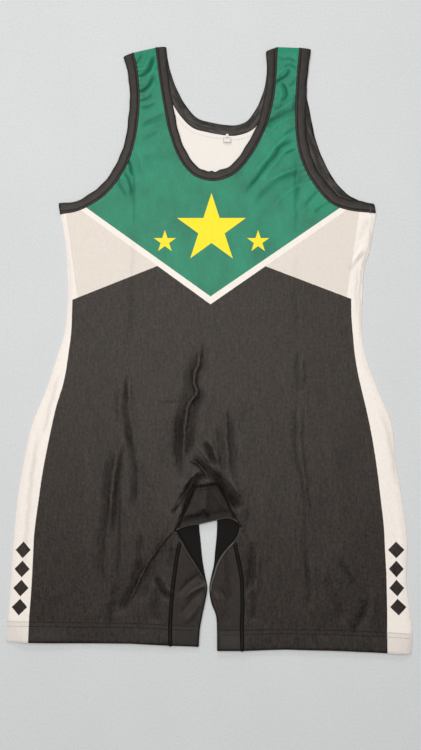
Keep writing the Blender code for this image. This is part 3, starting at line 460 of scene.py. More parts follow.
gathers = [  # edge, pitch, height in mm, and from what to what height up the suit
    ("leftArm", 0.0062, 0.60, 0.72, 0.84), ("leftArm", 0.0083, 0.30, 0.62, 0.74),
    ("rightArm", 0.0075, 0.34, 0.62, 0.84), ("frontNeck", 0.0085, 0.22, 0.66, 0.84),
]


def puckers(x, y):  # small gathers where the bindings draw the cloth in
    total = np.zeros(len(x))
    for name, pitch, height, low, high in gathers:
        line = edges[name]
        left, right = line[:, 0].min() - 0.02, line[:, 0].max() + 0.02
        near = np.flatnonzero((x > left) & (x < right) & (y > low) & (y < high))
        if len(near) == 0:
            continue
        gap, _, along = measure(x[near], y[near], line)
        travel = along * travelOf(line)[-1]
        beat = np.sin(2 * math.pi * travel / pitch + 2.1 * np.sin(travel * 61)) * (0.5 + 0.5 * np.sin(travel * 37 + 1))
        beat = beat * soft((y[near] - low) / 0.02) * soft((high - y[near]) / 0.02)
        total[near] += height / 1000 * beat * hump(gap, 0.0060)
    return total


def shadeOf(x, y):
    hem = -0.24 * soft((suit["hemDepth"] + 0.006 - hemRise(x, y)) / 0.003)  # painted shade: darker and duller along the hem band
    return np.clip(foldForms(x, y)[1] + 600 * puckers(x, y) + hem + 450 * np.minimum(seamDips(x, y), 0), -1, 1)


def shoulderDrop(x, y):  # distance below the fold at the top of the nearer strap
    left = np.interp(x, [-0.1074, -0.0771], [0.8414, 0.8484])
    right = np.interp(x, [0.0942, 0.1239], [0.8490, 0.8480])
    return np.where(x < 0, left, right) - y


def keptUp(height):  # no trough goes through the cloth below
    return suit["edgeLie"] + 0.0003 * np.logaddexp(0, (height - suit["edgeLie"]) / 0.0003)


def frontBase(x, y):
    side = np.minimum(x - leftSideX(y), rightSideX(y) - x)
    belly = soft(side / 0.12) * soft((0.66 - y) / 0.20)
    reach = np.hypot(x - suit["crotchAt"][0], y - suit["crotchAt"][1]) / suit["crotchReach"]
    lie = suit["frontLie"] + suit["bellyLift"] * belly + suit["crotchLift"] * soft(1 - reach)
    lie = keptUp(lie + ripple(x, y) + foldForms(x, y)[0] + puckers(x, y) + seamDips(x, y))
    edge = np.minimum(side, shoulderDrop(x, y))
    return suit["edgeLie"] + (lie - suit["edgeLie"]) * quarter(edge / suit["edgeRound"])


def hemRise(x, y):
    return np.where(x < 0, y - hemHeight(x, "left"), y - hemHeight(x, "right"))


def hemLift(x, rise):  # none at the side seams, where front and back are joined
    corner = soft((np.abs(x) - 0.17) / 0.08)
    joined = soft((0.281 - np.abs(x)) / 0.022)
    return suit["hemLift"] * (0.6 + 0.9 * corner + 0.3 * np.sin(x * 47)) * soft(1 - rise / 0.030) * joined


def hemTurn(x, rise):  # the turned cloth under the hem, and its lift
    return suit["hemExtra"] * soft((suit["hemDepth"] + 0.006 - rise) / 0.010) + hemLift(x, rise)


def frontTop(x, y):
    rise = hemRise(x, y)
    hemFold = 0.0012 * (1 - quarter(rise / 0.0030))  # the cloth rounds over at the bottom fold of the hem
    return frontBase(x, y) + hemTurn(x, rise) - hemFold + 0.5 * suit["wall"]


def stripTop(x, y):  # the inner leg cloth falls from its turned edge to the cloth of the back
    lie = frontBase(x, y)
    outward = 0.0026 * soft((0.125 - y) / 0.03)  # below the widest part of the opening the turned edge is sharper
    left = leftRollX(y) + outward + suit["thighTurn"] - x
    right = x - rightRollX(y) + outward + suit["thighTurn"]
    inside = np.where(x < 0.5 * (leftGapX(y) + rightGapX(y)), left, right)
    low = suit["edgeLie"]
    bead = 0.0005 * hump(inside - suit["thighTurn"], 0.0016)
    fall = low + (lie + bead - low) * soft(inside / suit["thighTurn"])
    rise = hemRise(x, y)
    return fall + hemTurn(x, rise) - 0.0010 * (1 - quarter(rise / 0.0030)) + 0.5 * suit["wall"]


def gussetHeight(x, y):
    gap = measure(x, y, gussetRoll)[0]
    low = 0.0022 * (1 - quarter(gap / 0.0036))
    bead = 0.0004 * hump(gap - 0.0026, 0.0013)
    hollow = 0.0009 * hump(gap - 0.0085, 0.0042)
    tuck = 0.0008 * soft(1 - (nearestSeam(x, y) - 0.0004) / 0.0012)
    return keptUp(frontBase(x, y) - low + bead - hollow - tuck) + 0.5 * suit["wall"]


def insideOutline(points, loop):
    inside = np.zeros(len(points), bool)
    x0, y0 = loop[:, 0], loop[:, 1]
    x1, y1 = np.roll(x0, -1), np.roll(y0, -1)
    rise = np.where(y1 == y0, 1, y1 - y0)
    for first in range(0, len(points), 8000):
        x, y = points[first:first + 8000, :1], points[first:first + 8000, 1:2]
        crossing = ((y0 > y) != (y1 > y)) & (x < x0 + (y - y0) * (x1 - x0) / rise)
        inside[first:first + 8000] = np.sum(crossing, axis=1) % 2 == 1
    return inside


def toFrame(points):
    points = np.array(points, float)
    points[:, :2] += suitOrigin
    return points


def placesOf(verts):
    return np.array([vert.co[:2] for vert in verts]) - suitOrigin


def middlesOf(bm):
    return np.array([face.calc_center_median()[:2] for face in bm.faces]) - suitOrigin


def cutSheet(loop, cell, corners=(), sharper=()):
    # a grid over the outline; what lies outside goes, and the edge is drawn on to the outline
    low, high = loop.min(axis=0) - cell, loop.max(axis=0) + cell
    columns, rows = (int(math.ceil(span / cell)) for span in high - low)
    bm = bmesh.new()
    bmesh.ops.create_grid(bm, x_segments=columns, y_segments=rows, size=0.5)
    centre = toFrame([0.5 * (low + high)])[0]
    place = Matrix.Translation((*centre, 0)) @ Matrix.Diagonal((columns * cell, rows * cell, 1, 1))
    bmesh.ops.transform(bm, matrix=place, verts=bm.verts)
    dense = evenly(np.vstack([loop, loop[:1]]), 0.0005)
    tree = kdtree.KDTree(len(dense))
    for index, (x, y) in enumerate(toFrame(dense)):
        tree.insert((x, y, 0), index)
    tree.balance()
    inside = insideOutline(placesOf(bm.verts), loop)
    outside = set()
    for vert, isIn in zip(bm.verts, inside):
        spot, _, gap = tree.find(vert.co)
        if gap < 0.5 * cell:
            vert.co = spot
        elif not isIn:
            outside.add(vert)
    bmesh.ops.delete(bm, geom=list(outside), context="VERTS")
    keep = insideOutline(middlesOf(bm), loop)
    bmesh.ops.delete(bm, geom=[face for face, isIn in zip(bm.faces, keep) if not isIn], context="FACES")
    for isSharp in sharper:  # smaller faces where the form is sharp
        middles = middlesOf(bm)
        chosen = isSharp(middles[:, 0], middles[:, 1])
        fine = {face for face, isFine in zip(bm.faces, chosen) if isFine}
        cuts = [edge for edge in bm.edges if not fine.isdisjoint(edge.link_faces)]
        bmesh.ops.subdivide_edges(bm, edges=cuts, cuts=1, use_grid_fill=True)
    rim = [vert for vert in bm.verts if vert.is_boundary]
    for vert in rim:
        vert.co = tree.find(vert.co)[0]
    inner = [vert for vert in bm.verts if not vert.is_boundary]
    bmesh.ops.smooth_vert(bm, verts=inner, factor=0.5, use_axis_x=True, use_axis_y=True)
    for corner in toFrame(corners) if len(corners) else []:
        spot = Vector((*corner, 0))
        min(rim, key=lambda vert: (vert.co - spot).length).co = spot
    return bm


def layOn(verts, top, below=0.0):
    places = placesOf(verts)
    for vert, height in zip(verts, top(places[:, 0], places[:, 1])):
        vert.co.z = height - below


def extrudeUp(bm):
    made = bmesh.ops.extrude_face_region(bm, geom=bm.faces[:], use_keep_orig=True)
    return [item for item in made["geom"] if isinstance(item, bmesh.types.BMVert)]


def thicken(bm, top, wall):
    # the grid goes down to the cloth's lower face, and an extrusion makes its upper face
    layOn(bm.verts, top, wall)
    bmesh.ops.translate(bm, verts=extrudeUp(bm), vec=(0, 0, wall))
    bmesh.ops.recalc_face_normals(bm, faces=bm.faces)


def showPiece(name, bm, material, nodes=(), sharp=45):
    mesh = bpy.data.meshes.new(name)
    bm.to_mesh(mesh)
    bm.free()
    mesh.shade_smooth()
    if sharp:
        mesh.set_sharp_from_angle(angle=math.radians(sharp))
    piece = bpy.data.objects.new(name, mesh)
    bpy.context.scene.collection.objects.link(piece)
    mesh.materials.append(material)
    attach(piece, "root")
    if nodes:
        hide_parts(*nodes)
    triangles = sum(len(face.vertices) - 2 for face in mesh.polygons)
    print(name, "has", triangles, "triangles")
    return piece


def giveAttribute(piece, name, values):
    attribute = piece.data.attributes.new(name, "FLOAT", "POINT")
    attribute.data.foreach_set("value", np.asarray(values, np.float32))


def meshPlaces(piece):
    flat = np.empty(len(piece.data.vertices) * 3)
    piece.data.vertices.foreach_get("co", flat)
    return flat.reshape(-1, 3) - [*suitOrigin, 0]


def tone(red, green, blue):  # a colour as a screen shows it, from 0 to 255
    return tuple(((part / 255 + 0.055) / 1.055) ** 2.4 for part in (red, green, blue)) + (1,)


def feed(tree, socket, value):
    if isinstance(value, bpy.types.NodeSocket):
        tree.links.new(value, socket)
    else:
        socket.default_value = value


def calc(tree, operation, *values, clamp=False):
    node = tree.nodes.new("ShaderNodeMath")
    node.operation = operation
    node.use_clamp = clamp
    for socket, value in zip(node.inputs, values):
        feed(tree, socket, value)
    return node.outputs[0]


def mixColour(tree, share, first, second, mode="MIX"):
    node = tree.nodes.new("ShaderNodeMix")
    node.data_type = "RGBA"
    node.blend_type = mode
    feed(tree, node.inputs[0], share)
    feed(tree, node.inputs[6], first)
    feed(tree, node.inputs[7], second)
    return node.outputs[2]


def noiseOf(tree, vector, stretch, detail=2.0, rough=0.5):
    scaled = tree.nodes.new("ShaderNodeVectorMath")
    scaled.operation = "MULTIPLY"
    feed(tree, scaled.inputs[0], vector)
    scaled.inputs[1].default_value = stretch
    node = tree.nodes.new("ShaderNodeTexNoise")
    tree.links.new(scaled.outputs[0], node.inputs["Vector"])
    node.inputs["Scale"].default_value = 1
    node.inputs["Detail"].default_value = detail
    node.inputs["Roughness"].default_value = rough
    return node.outputs[0]


def varied(tree, level, noise, depth):  # a level that rises and falls with a noise
    return calc(tree, "MULTIPLY_ADD", calc(tree, "SUBTRACT", noise, 0.5), depth, level)


def atLevel(tree, colour, level):  # a colour made darker or paler
    grey = tree.nodes.new("ShaderNodeCombineColor")
    for socket in grey.inputs[:3]:
        tree.links.new(level, socket)
    return mixColour(tree, 1.0, colour, grey.outputs[0], "MULTIPLY")


def newGroup(name, inputs, outputs):
    tree = bpy.data.node_groups.new(name, "ShaderNodeTree")
    for label, kind, value in inputs:
        socket = tree.interface.new_socket(label, in_out="INPUT", socket_type="NodeSocket" + kind)
        if value is not None:
            socket.default_value = value
    for label, kind in outputs:
        tree.interface.new_socket(label, in_out="OUTPUT", socket_type="NodeSocket" + kind)
    return tree, tree.nodes.new("NodeGroupInput").outputs, tree.nodes.new("NodeGroupOutput").inputs


def placeGroup(tree, group, **values):
    node = tree.nodes.new("ShaderNodeGroup")
    node.node_tree = group
    for label, value in values.items():
        feed(tree, node.inputs[label], value)
    return node.outputs


def xyOf(tree, vector):
    node = tree.nodes.new("ShaderNodeSeparateXYZ")
    feed(tree, node.inputs[0], vector)
    return node.outputs[0], node.outputs[1]


def edgeMask(tree, distance, softness=0.0003):  # 1 where the distance is positive
    return calc(tree, "MULTIPLY_ADD", distance, 0.5 / softness, 0.5, clamp=True)


def lineDistance(tree, x, y, start, stop):  # positive on the left of the way from start to stop
    a, b = toFrame([picture(*start), picture(*stop)])
    along = (b - a) / np.linalg.norm(b - a)
    return calc(
        tree, "MULTIPLY_ADD", x, float(-along[1]),
        calc(tree, "MULTIPLY_ADD", y, float(along[0]), float(along[1] * a[0] - along[0] * a[1])),
    )


def makeKnitGroup():
    # wales and courses of a fine knit, the unevenness of its dye, and faint streaks down the wales
    tree, given, out = newGroup(
        "knitFace", [("Place", "Vector", None), ("Wales", "Float", 1450.0)],
        [("Grain", "Float"), ("Mottle", "Float"), ("Streak", "Float")],
    )
    x, y = xyOf(tree, given["Place"])
    wale = calc(tree, "SINE", calc(tree, "MULTIPLY", x, calc(tree, "MULTIPLY", given["Wales"], 6.2832)))
    course = calc(tree, "SINE", calc(tree, "MULTIPLY", y, calc(tree, "MULTIPLY", given["Wales"], 7.5)))
    weave = calc(tree, "MULTIPLY_ADD", wale, 0.3, calc(tree, "MULTIPLY", course, 0.2))
    fuzz = noiseOf(tree, given["Place"], (900, 900, 900), 1.0)
    feed(tree, out["Grain"], calc(tree, "ADD", weave, fuzz))
    feed(tree, out["Mottle"], noiseOf(tree, given["Place"], (300, 230, 230), 4.0, 0.65))
    feed(tree, out["Streak"], noiseOf(tree, given["Place"], (460, 60, 60), 2.0, 0.5))
    return tree


def makeStarGroup():
    # a five-pointed star: the angle is folded into half a point, whose edge is one straight line
    tree, given, out = newGroup(
        "starPrint",
        [("Place", "Vector", None), ("CentreX", "Float", 0.0), ("CentreY", "Float", 0.0), ("Radius", "Float", 0.05)],
        [("Mask", "Float")],
    )
    x, y = xyOf(tree, given["Place"])
    dx = calc(tree, "SUBTRACT", x, given["CentreX"])
    dy = calc(tree, "SUBTRACT", y, given["CentreY"])
    reach = calc(tree, "SQRT", calc(tree, "ADD", calc(tree, "MULTIPLY", dx, dx), calc(tree, "MULTIPLY", dy, dy)))
    angle = calc(tree, "PINGPONG", calc(tree, "ARCTAN2", dx, dy), math.pi / 5)
    forward = calc(tree, "MULTIPLY", reach, calc(tree, "COSINE", angle))
    aside = calc(tree, "MULTIPLY", reach, calc(tree, "SINE", angle))
    outside = calc(tree, "MULTIPLY_ADD", forward, 0.309, calc(tree, "MULTIPLY", aside, 0.951))
    inside = calc(tree, "SUBTRACT", calc(tree, "MULTIPLY", given["Radius"], 0.309), outside)
    feed(tree, out["Mask"], edgeMask(tree, inside))
    return tree


knitFace, starPrint = makeKnitGroup(), makeStarGroup()

# painted highlight along the rolled edges of the gusset and the inner legs: its colour, strength and width
rolledEdgeHighlight = {"colour": tone(104, 99, 96), "share": 0.75, "stretch": 0.0010}

printed = {  # colours of the print, and where its edges run, in picture points
    "bib": tone(22, 128, 99),
    "white": tone(240, 233, 226),
    "grey": tone(222, 213, 204),
    "black": tone(33, 27, 24),
    "stars": tone(252, 228, 20),
    "innerLeft": ((88.3, 209.3), (210.5, 296.7)),
    "innerRight": ((210.5, 296.7), (339.0, 208.7)),
    "outerLeft": ((80.0, 209.8), (210.5, 304.5)),
    "outerRight": ((210.5, 304.5), (345.4, 211.0)),
    "greyLeft": ((66.6, 215.7), (77.6, 298.0)),
    "greyRight": ((346.4, 297.6), (358.8, 213.4)),
    "blackLeft": ((156.5, 266.7), (72.7, 299.9)),
    "blackRight": ((350.9, 299.0), (266.6, 267.0)),
    "starPlaces": ((211.5, 229.5, 36.0), (165.0, 242.0, 11.5), (258.0, 242.0, 11.5)),  # middle and radius
    "diamonds": 4,                # how many down each side band
    "diamondsFrom": 540.0,
    "diamondPitch": 19.0,
    "diamondShape": (0.44, 0.37),  # half its height in pitches, half its width in band widths
}

bandEdge = {  # edge of the white band down each side, in picture points
    "left": [
        (72.7, 300), (72.3, 314), (71.4, 333), (69, 352), (64.5, 380), (56, 409), (49, 441), (42.7, 474),
        (38.3, 505), (35.7, 524), (34.3, 537), (33.8, 549), (33, 565), (32.4, 578), (31.3, 595),
        (30.3, 608), (29.4, 620), (29.1, 640),
    ],
    "right": [
        (350.9, 299), (351, 314), (352.4, 333), (355, 358.6), (359, 380), (366, 409.5), (371.3, 435),
        (376.4, 467), (380.3, 499), (383.5, 527), (384.3, 543.5), (385, 557), (386, 574), (386.2, 586),
        (386.7, 604), (386.8, 617), (386.7, 652),
    ],
}


def bandEdgeX(side):
    curve = smoothCurve([picture(*place) for place in bandEdge[side]], 0.003)
    order = np.argsort(curve[:, 1])
    return lambda y: np.interp(y, curve[order, 1], curve[order, 0])


leftBandX, rightBandX = bandEdgeX("left"), bandEdgeX("right")


def makePrintGroup():
    tree, given, out = newGroup(
        "suitPrint",
        [("Place", "Vector", None), ("Inset", "Float", 0.0), ("Share", "Float", 0.0), ("Stars", "Float", 1.0)],
        [("Color", "Color"), ("Dark", "Float"), ("Bib", "Float")],
    )
    x, y = xyOf(tree, given["Place"])

    def within(*names):
        reach = lineDistance(tree, x, y, *printed[names[0]])
        for name in names[1:]:
            reach = calc(tree, "MINIMUM", reach, lineDistance(tree, x, y, *printed[name]))
        return reach

    bib = edgeMask(tree, within("innerLeft", "innerRight"))
    chevron = edgeMask(tree, within("outerLeft", "outerRight"))
    grey = edgeMask(tree, within("greyLeft", "greyRight"))
    body = edgeMask(tree, calc(tree, "MINIMUM", within("blackLeft", "blackRight"), given["Inset"]))
    # a column of diamonds down each side band
    count, pitch = printed["diamonds"], printed["diamondPitch"]
    startY = toFrame([picture(0, printed["diamondsFrom"] + count * pitch)])[0][1]
    steps = calc(tree, "DIVIDE", calc(tree, "SUBTRACT", y, float(startY)), picturePoint * pitch)
    ranged = calc(tree, "MULTIPLY", calc(tree, "GREATER_THAN", steps, 0), calc(tree, "LESS_THAN", steps, count))
    fromMiddle = calc(tree, "SUBTRACT", 0.5, calc(tree, "PINGPONG", steps, 0.5))
    across = calc(tree, "ABSOLUTE", calc(tree, "SUBTRACT", given["Share"], 0.5))
    tall, wide = printed["diamondShape"]
    reach = calc(tree, "MULTIPLY_ADD", fromMiddle, -1 / tall, calc(tree, "MULTIPLY_ADD", across, -1 / wide, 1))
    diamond = calc(tree, "MULTIPLY", edgeMask(tree, calc(tree, "MULTIPLY", reach, 0.008)), ranged)
    stars = None
    for px, py, radius in printed["starPlaces"]:
        sx, sy = toFrame([picture(px, py)])[0]
        star = placeGroup(
            tree, starPrint, Place=given["Place"], CentreX=float(sx), CentreY=float(sy), Radius=radius * picturePoint
        )["Mask"]
        stars = star if stars is None else calc(tree, "MAXIMUM", stars, star)
    stars = calc(tree, "MULTIPLY", stars, given["Stars"])
    colour = mixColour(tree, grey, printed["white"], printed["grey"])
    colour = mixColour(tree, calc(tree, "MAXIMUM", body, diamond), colour, printed["black"])
    colour = mixColour(tree, chevron, colour, printed["white"])
    colour = mixColour(tree, bib, colour, printed["bib"])
    colour = mixColour(tree, stars, colour, printed["stars"])
    feed(tree, out["Color"], colour)
    dark = calc(tree, "MULTIPLY", calc(tree, "MAXIMUM", body, diamond), calc(tree, "SUBTRACT", 1, chevron))
    feed(tree, out["Dark"], dark)
    feed(tree, out["Bib"], calc(tree, "MULTIPLY", bib, calc(tree, "SUBTRACT", 1, stars)))
    return tree


def newMaterial(name, roughness, specular=0.5, sheen=0.0, sheenRoughness=0.5):
    material = bpy.data.materials.new(name)
    material.use_nodes = True
    shader = material.node_tree.nodes["Principled BSDF"]
    shader.inputs["Roughness"].default_value = roughness
    shader.inputs["Specular IOR Level"].default_value = specular
    shader.inputs["Sheen Weight"].default_value = sheen
    shader.inputs["Sheen Roughness"].default_value = sheenRoughness
    shader.inputs["Specular Tint"].default_value = (1.0, 0.95, 0.89, 1)
    return material, material.node_tree, shader


def objectPlace(tree):
    return tree.nodes.new("ShaderNodeTexCoord").outputs["Object"]


def attributeOf(tree, name):
    node = tree.nodes.new("ShaderNodeAttribute")
    node.attribute_name = name
    return node.outputs["Fac"]


def bumpFrom(tree, shader, height, distance, strength):
    bump = tree.nodes.new("ShaderNodeBump")
    bump.inputs["Strength"].default_value = strength
    bump.inputs["Distance"].default_value = distance
    feed(tree, bump.inputs["Height"], height)
    tree.links.new(bump.outputs[0], shader.inputs["Normal"])


def dyeLevel(tree, knit, depth):  # the dye takes a little unevenly, in mottles and in streaks down the wales
    level = varied(tree, 1, knit["Mottle"], depth)
    return varied(tree, level, knit["Streak"], calc(tree, "MULTIPLY", depth, 0.5))


paintedFoldLight = {"paler": 0.75, "darker": 0.68, "duller": 0.45}  # painted highlight on a crest, painted shade in the depth of a fold


def paintFoldShadeAndHighlight(tree, shader, colour, roughness):
    # painted shade: in the depth of a fold the knit is darkened and dulled; painted highlight: on its crest it is paler
    shade = attributeOf(tree, "shade")
    deep = calc(tree, "MAXIMUM", calc(tree, "MULTIPLY", shade, -1), 0)
    level = calc(tree, "MULTIPLY_ADD", calc(tree, "MAXIMUM", shade, 0), paintedFoldLight["paler"], 1)
    level = calc(tree, "MULTIPLY_ADD", deep, -paintedFoldLight["darker"], level)
    feed(tree, shader.inputs["Roughness"], calc(tree, "MULTIPLY_ADD", deep, paintedFoldLight["duller"], roughness))
    return atLevel(tree, colour, level)


suitPrint = makePrintGroup()

knitLook = {"roughness": 0.37, "mottle": 0.2, "bibMottle": 0.25, "blackMottle": 5.4, "patches": 0.8}


def makePrintedKnit(name, stars):
    material, tree, shader = newMaterial(name, knitLook["roughness"], 0.25, 0.02, 0.4)
    place = objectPlace(tree)
    knit = placeGroup(tree, knitFace, Place=place)
    printOut = placeGroup(
        tree, suitPrint, Place=place, Stars=stars,
        Inset=attributeOf(tree, "inset"), Share=attributeOf(tree, "bandShare"),
    )
    depth = calc(tree, "MULTIPLY_ADD", printOut["Bib"], knitLook["bibMottle"], knitLook["mottle"])
    depth = calc(tree, "MULTIPLY_ADD", printOut["Dark"], knitLook["blackMottle"], depth)
    # painted soft shading and sheen: broad lighter and darker patches on the bib
    paintedBibSheen = noiseOf(tree, place, (34, 26, 26), 2.0, 0.55)
    patches = calc(tree, "MULTIPLY", printOut["Bib"], knitLook["patches"])
    level = varied(tree, dyeLevel(tree, knit, depth), paintedBibSheen, patches)
    colour = atLevel(tree, printOut["Color"], level)
    # the black has warm and cool patches
    hue = noiseOf(tree, place, (38, 30, 30), 2.0, 0.5)
    warm = mixColour(tree, hue, tone(250, 255, 252), tone(255, 245, 242))
    warmed = mixColour(tree, 1.0, colour, warm, "MULTIPLY")
    colour = mixColour(tree, printOut["Dark"], colour, warmed)
    feed(tree, shader.inputs["Base Color"], paintFoldShadeAndHighlight(tree, shader, colour, knitLook["roughness"]))
    bumpFrom(tree, shader, knit["Grain"], 0.00012, 0.5)
    return material


def makePlainKnit(name, colour, roughness, depth, sheen, specular, shade=None, rim=False):
    material, tree, shader = newMaterial(name, roughness, specular, sheen, 0.4)
    place = objectPlace(tree)
    knit = placeGroup(tree, knitFace, Place=place)
    result = paintFoldShadeAndHighlight(tree, shader, atLevel(tree, colour, dyeLevel(tree, knit, depth)), roughness)
    if shade:  # painted shade: an attribute of the piece darkens it and dulls it
        paintedShadeMask = attributeOf(tree, shade[0])
        result = mixColour(tree, paintedShadeMask, result, shade[1])
        feed(tree, shader.inputs["Roughness"], calc(tree, "MULTIPLY_ADD", paintedShadeMask, paintedFoldLight["duller"], roughness))
    if rim:  # painted highlight: a paler line along the crest of the rolled edge
        gap = calc(tree, "DIVIDE", attributeOf(tree, "fromRoll"), rolledEdgeHighlight["stretch"])
        pale = calc(tree, "POWER", 2.718, calc(tree, "MULTIPLY", calc(tree, "MULTIPLY", gap, gap), -1))
        result = mixColour(tree, calc(tree, "MULTIPLY", pale, rolledEdgeHighlight["share"]), result, rolledEdgeHighlight["colour"])
    feed(tree, shader.inputs["Base Color"], result)
    bumpFrom(tree, shader, knit["Grain"], 0.00012, 0.5)
    return material


def makeBindingMaterial():
    # satin tape: fine threads along its length, read from the piece's own UV map
    material, tree, shader = newMaterial("bindingTape", 0.40, 0.22, 0.03, 0.4)
    uv = tree.nodes.new("ShaderNodeUVMap")
    uv.uv_map = "tape"
    threads = noiseOf(tree, uv.outputs[0], (30, 1500, 1), 2.0, 0.6)
    patches = noiseOf(tree, uv.outputs[0], (90, 160, 1), 3.0, 0.55)
    level = varied(tree, varied(tree, 1, threads, 1.2), patches, 2.2)
    # painted sheen: lighter glossy streaks over the dark inner face of the tape
    paintedTapeSheen = noiseOf(tree, uv.outputs[0], (38, 210, 1), 2.0, 0.6)
    paintedTapeSheen = calc(tree, "MULTIPLY_ADD", calc(tree, "SUBTRACT", paintedTapeSheen, 0.5), 5.0, 0.35, clamp=True)
    innerFace = mixColour(tree, paintedTapeSheen, tone(13, 12, 13), tone(58, 56, 55))
    colour = mixColour(tree, attributeOf(tree, "inner"), tone(35, 31, 30), innerFace)
    feed(tree, shader.inputs["Base Color"], atLevel(tree, colour, calc(tree, "MAXIMUM", level, 0.1)))
    bumpFrom(tree, shader, threads, 0.00015, 0.5)
    return material


def makeThread(name, colour, roughness=0.5, specular=0.2):
    # spun thread: a twist along it, and a little unevenness of its dye
    material, tree, shader = newMaterial(name, roughness, specular)
    twist = noiseOf(tree, objectPlace(tree), (2600, 2600, 2600), 2.0, 0.6)
    feed(tree, shader.inputs["Base Color"], atLevel(tree, colour, varied(tree, 1, twist, 0.5)))
    bumpFrom(tree, shader, twist, 0.0002, 0.6)
    return material


frontKnit = makePrintedKnit("printedKnit", 1.0)
outsideKnit = makePrintedKnit("backPrintedKnit", 0.0)
# the gusset's base colour is darker than the other black knit: painted shade
gussetKnit = makePlainKnit("gussetKnit", tone(25, 21, 19), 0.40, 3.0, 0.02, 0.18, rim=True)
# the inner legs take a painted shade, near black, in the recess past their turned edge
stripKnit = makePlainKnit("innerLegKnit", tone(33, 27, 24), 0.38, 2.2, 0.02, 0.24, ("recessShade", tone(10, 9, 10)), True)
insideKnit = makePlainKnit("insideKnit", tone(234, 229, 223), 0.6, 0.06, 0.05, 0.3)
bindingTape = makeBindingMaterial()
darkThread = makeThread("darkThread", tone(9, 8, 8), 0.5, 0.18)
paleThread = makeThread("paleThread", tone(186, 178, 171))
softThread = makeThread("softThread", tone(198, 191, 183))
tackThread = makeThread("tackThread", tone(84, 82, 80))
labelTape = makePlainKnit("labelTape", tone(226, 223, 219), 0.4, 0.05, 0.0, 0.4)
print("materials made")


def inseamLine(side, offset):
    placeX = leftInseamX if side == "left" else rightInseamX
    low = float(hemHeight(placeX(0.004), side))
    return moved(climb(placeX, low, 0.1575), offset)


def rollToCorner(side):
    if side == "left":
        return climb(leftRollX, 0.1615, 0.173)
    return climb(rightRollX, 0.1615, 0.1778)


def sideLines():
    return climb(leftSideX, 0.0176, 0.615), climb(rightSideX, 0.0, 0.6164)


def nearFolds(x, y, fine, chosen, reachShare):  # adds what lies near the chosen folds
    for fold in chosen:
        line, reach = fold["line"], reachShare * fold["width"]
        low, high = line.min(axis=0) - reach, line.max(axis=0) + reach
        near = np.flatnonzero(~fine & (x > low[0]) & (x < high[0]) & (y > low[1]) & (y < high[1]))
        if len(near):
            fine[near] = measure(x[near], y[near], line)[0] < reach
    return fine


def sharpForm(x, y):  # true round the gusset, along the hem's rows and over the folds
    rise = hemRise(x, y)
    fine = np.hypot(x + 0.005, (y - 0.205) * 0.8) < 0.055
    fine |= (rise < 0.004) | ((rise > 0.018) & (rise < 0.030))
    chosen = [fold for fold in folds if abs(fold["height"]) >= 0.16 * fold["width"]]
    return nearFolds(x, y, fine, chosen, 1.5)


def sharpestForm(x, y):  # true beside the gusset's seams, on steep ridges and in the straps' steep troughs
    chosen = []
    for fold in folds:
        inStrap = fold["height"] < -0.6 * fold["width"] and fold["line"][:, 1].min() > 0.66
        if fold["height"] >= 0.7 * fold["width"] or inStrap:
            chosen.append(fold)
    return nearFolds(x, y, nearestSeam(x, y) < 0.020, chosen, 0.9)


def giveBands(piece):  # how far a point is inside the side bands, and how far across one
    x, y, _ = meshPlaces(piece).T
    leftIn, rightIn = x - leftBandX(y), rightBandX(y) - x
    giveAttribute(piece, "inset", np.minimum(leftIn, rightIn))
    leftShare = -leftIn / (leftBandX(y) - leftSideX(y))
    rightShare = -rightIn / (rightSideX(y) - rightBandX(y))
    giveAttribute(piece, "bandShare", np.where(x < 0, leftShare, rightShare))


frontPanelSizes = {"cell": 0.0036, "tuck": 0.0022}  # size of a face, and how far the cloth reaches into a binding


def buildFrontPanel():
    sizes = frontPanelSizes
    left, right = sideLines()
    leftSeam, rightSeam = inseamLine("left", 0.0005), inseamLine("right", -0.0005)
    loop = ring(
        right,
        moved(edges["rightArm"], sizes["tuck"])[::-1],
        moved(edges["frontNeck"], sizes["tuck"])[::-1],
        moved(edges["leftArm"], -sizes["tuck"]),
        left[::-1],
        hemLine(left[0][0], leftSeam[0][0], "left"),
        leftSeam,
        rollToCorner("left"),
        gussetSeams[0][::-1],
        gussetSeams[1],
        rollToCorner("right")[::-1],
        rightSeam[::-1],
        hemLine(rightSeam[0][0], right[0][0], "right"),
    )
    corners = [left[0], right[0], gussetSeams[0][0], gussetSeams[0][-1], gussetSeams[1][0], gussetSeams[1][-1]]
    bm = cutSheet(loop, sizes["cell"], corners, (sharpForm, sharpestForm))
    thicken(bm, frontTop, suit["wall"])
    piece = showPiece("frontPanel", bm, frontKnit, ["front_panel"])
    giveBands(piece)
    x, y, _ = meshPlaces(piece).T
    giveAttribute(piece, "shade", shadeOf(x, y))
    return piece, areaOf(loop)


frontPanel, frontArea = buildFrontPanel()

backPanelSizes = {"cell": 0.0072, "tuck": 0.002}
backFold = smoothCurve(
    [(-0.055, 0.755), (-0.03, 0.727), (0.0, 0.7205), (0.034, 0.7185), (0.06, 0.727), (0.078, 0.746)], 0.003
)


def backTop(x, y):
    # flat under the front; in the neck its inside shows, a little uneven and with the edge of its seam
    shown = soft((y - 0.60) / 0.05)
    gap, side, _ = measure(x, y, backFold)
    lift = 0.0002 * np.sin(70 * x + 40 * y) * np.sin(55 * y - 20 * x + 1)
    step = 0.00035 * soft(0.5 + side * gap / 0.0022)
    groove = 0.00025 * hump(gap, 0.0012)
    return suit["backTop"] + shown * (0.0002 + lift + step - groove)


def openNeck(x, y):  # true in the neck, where the inside of the back shows
    return (np.abs(x) < 0.1) & (y > 0.65) & (y < 0.78)


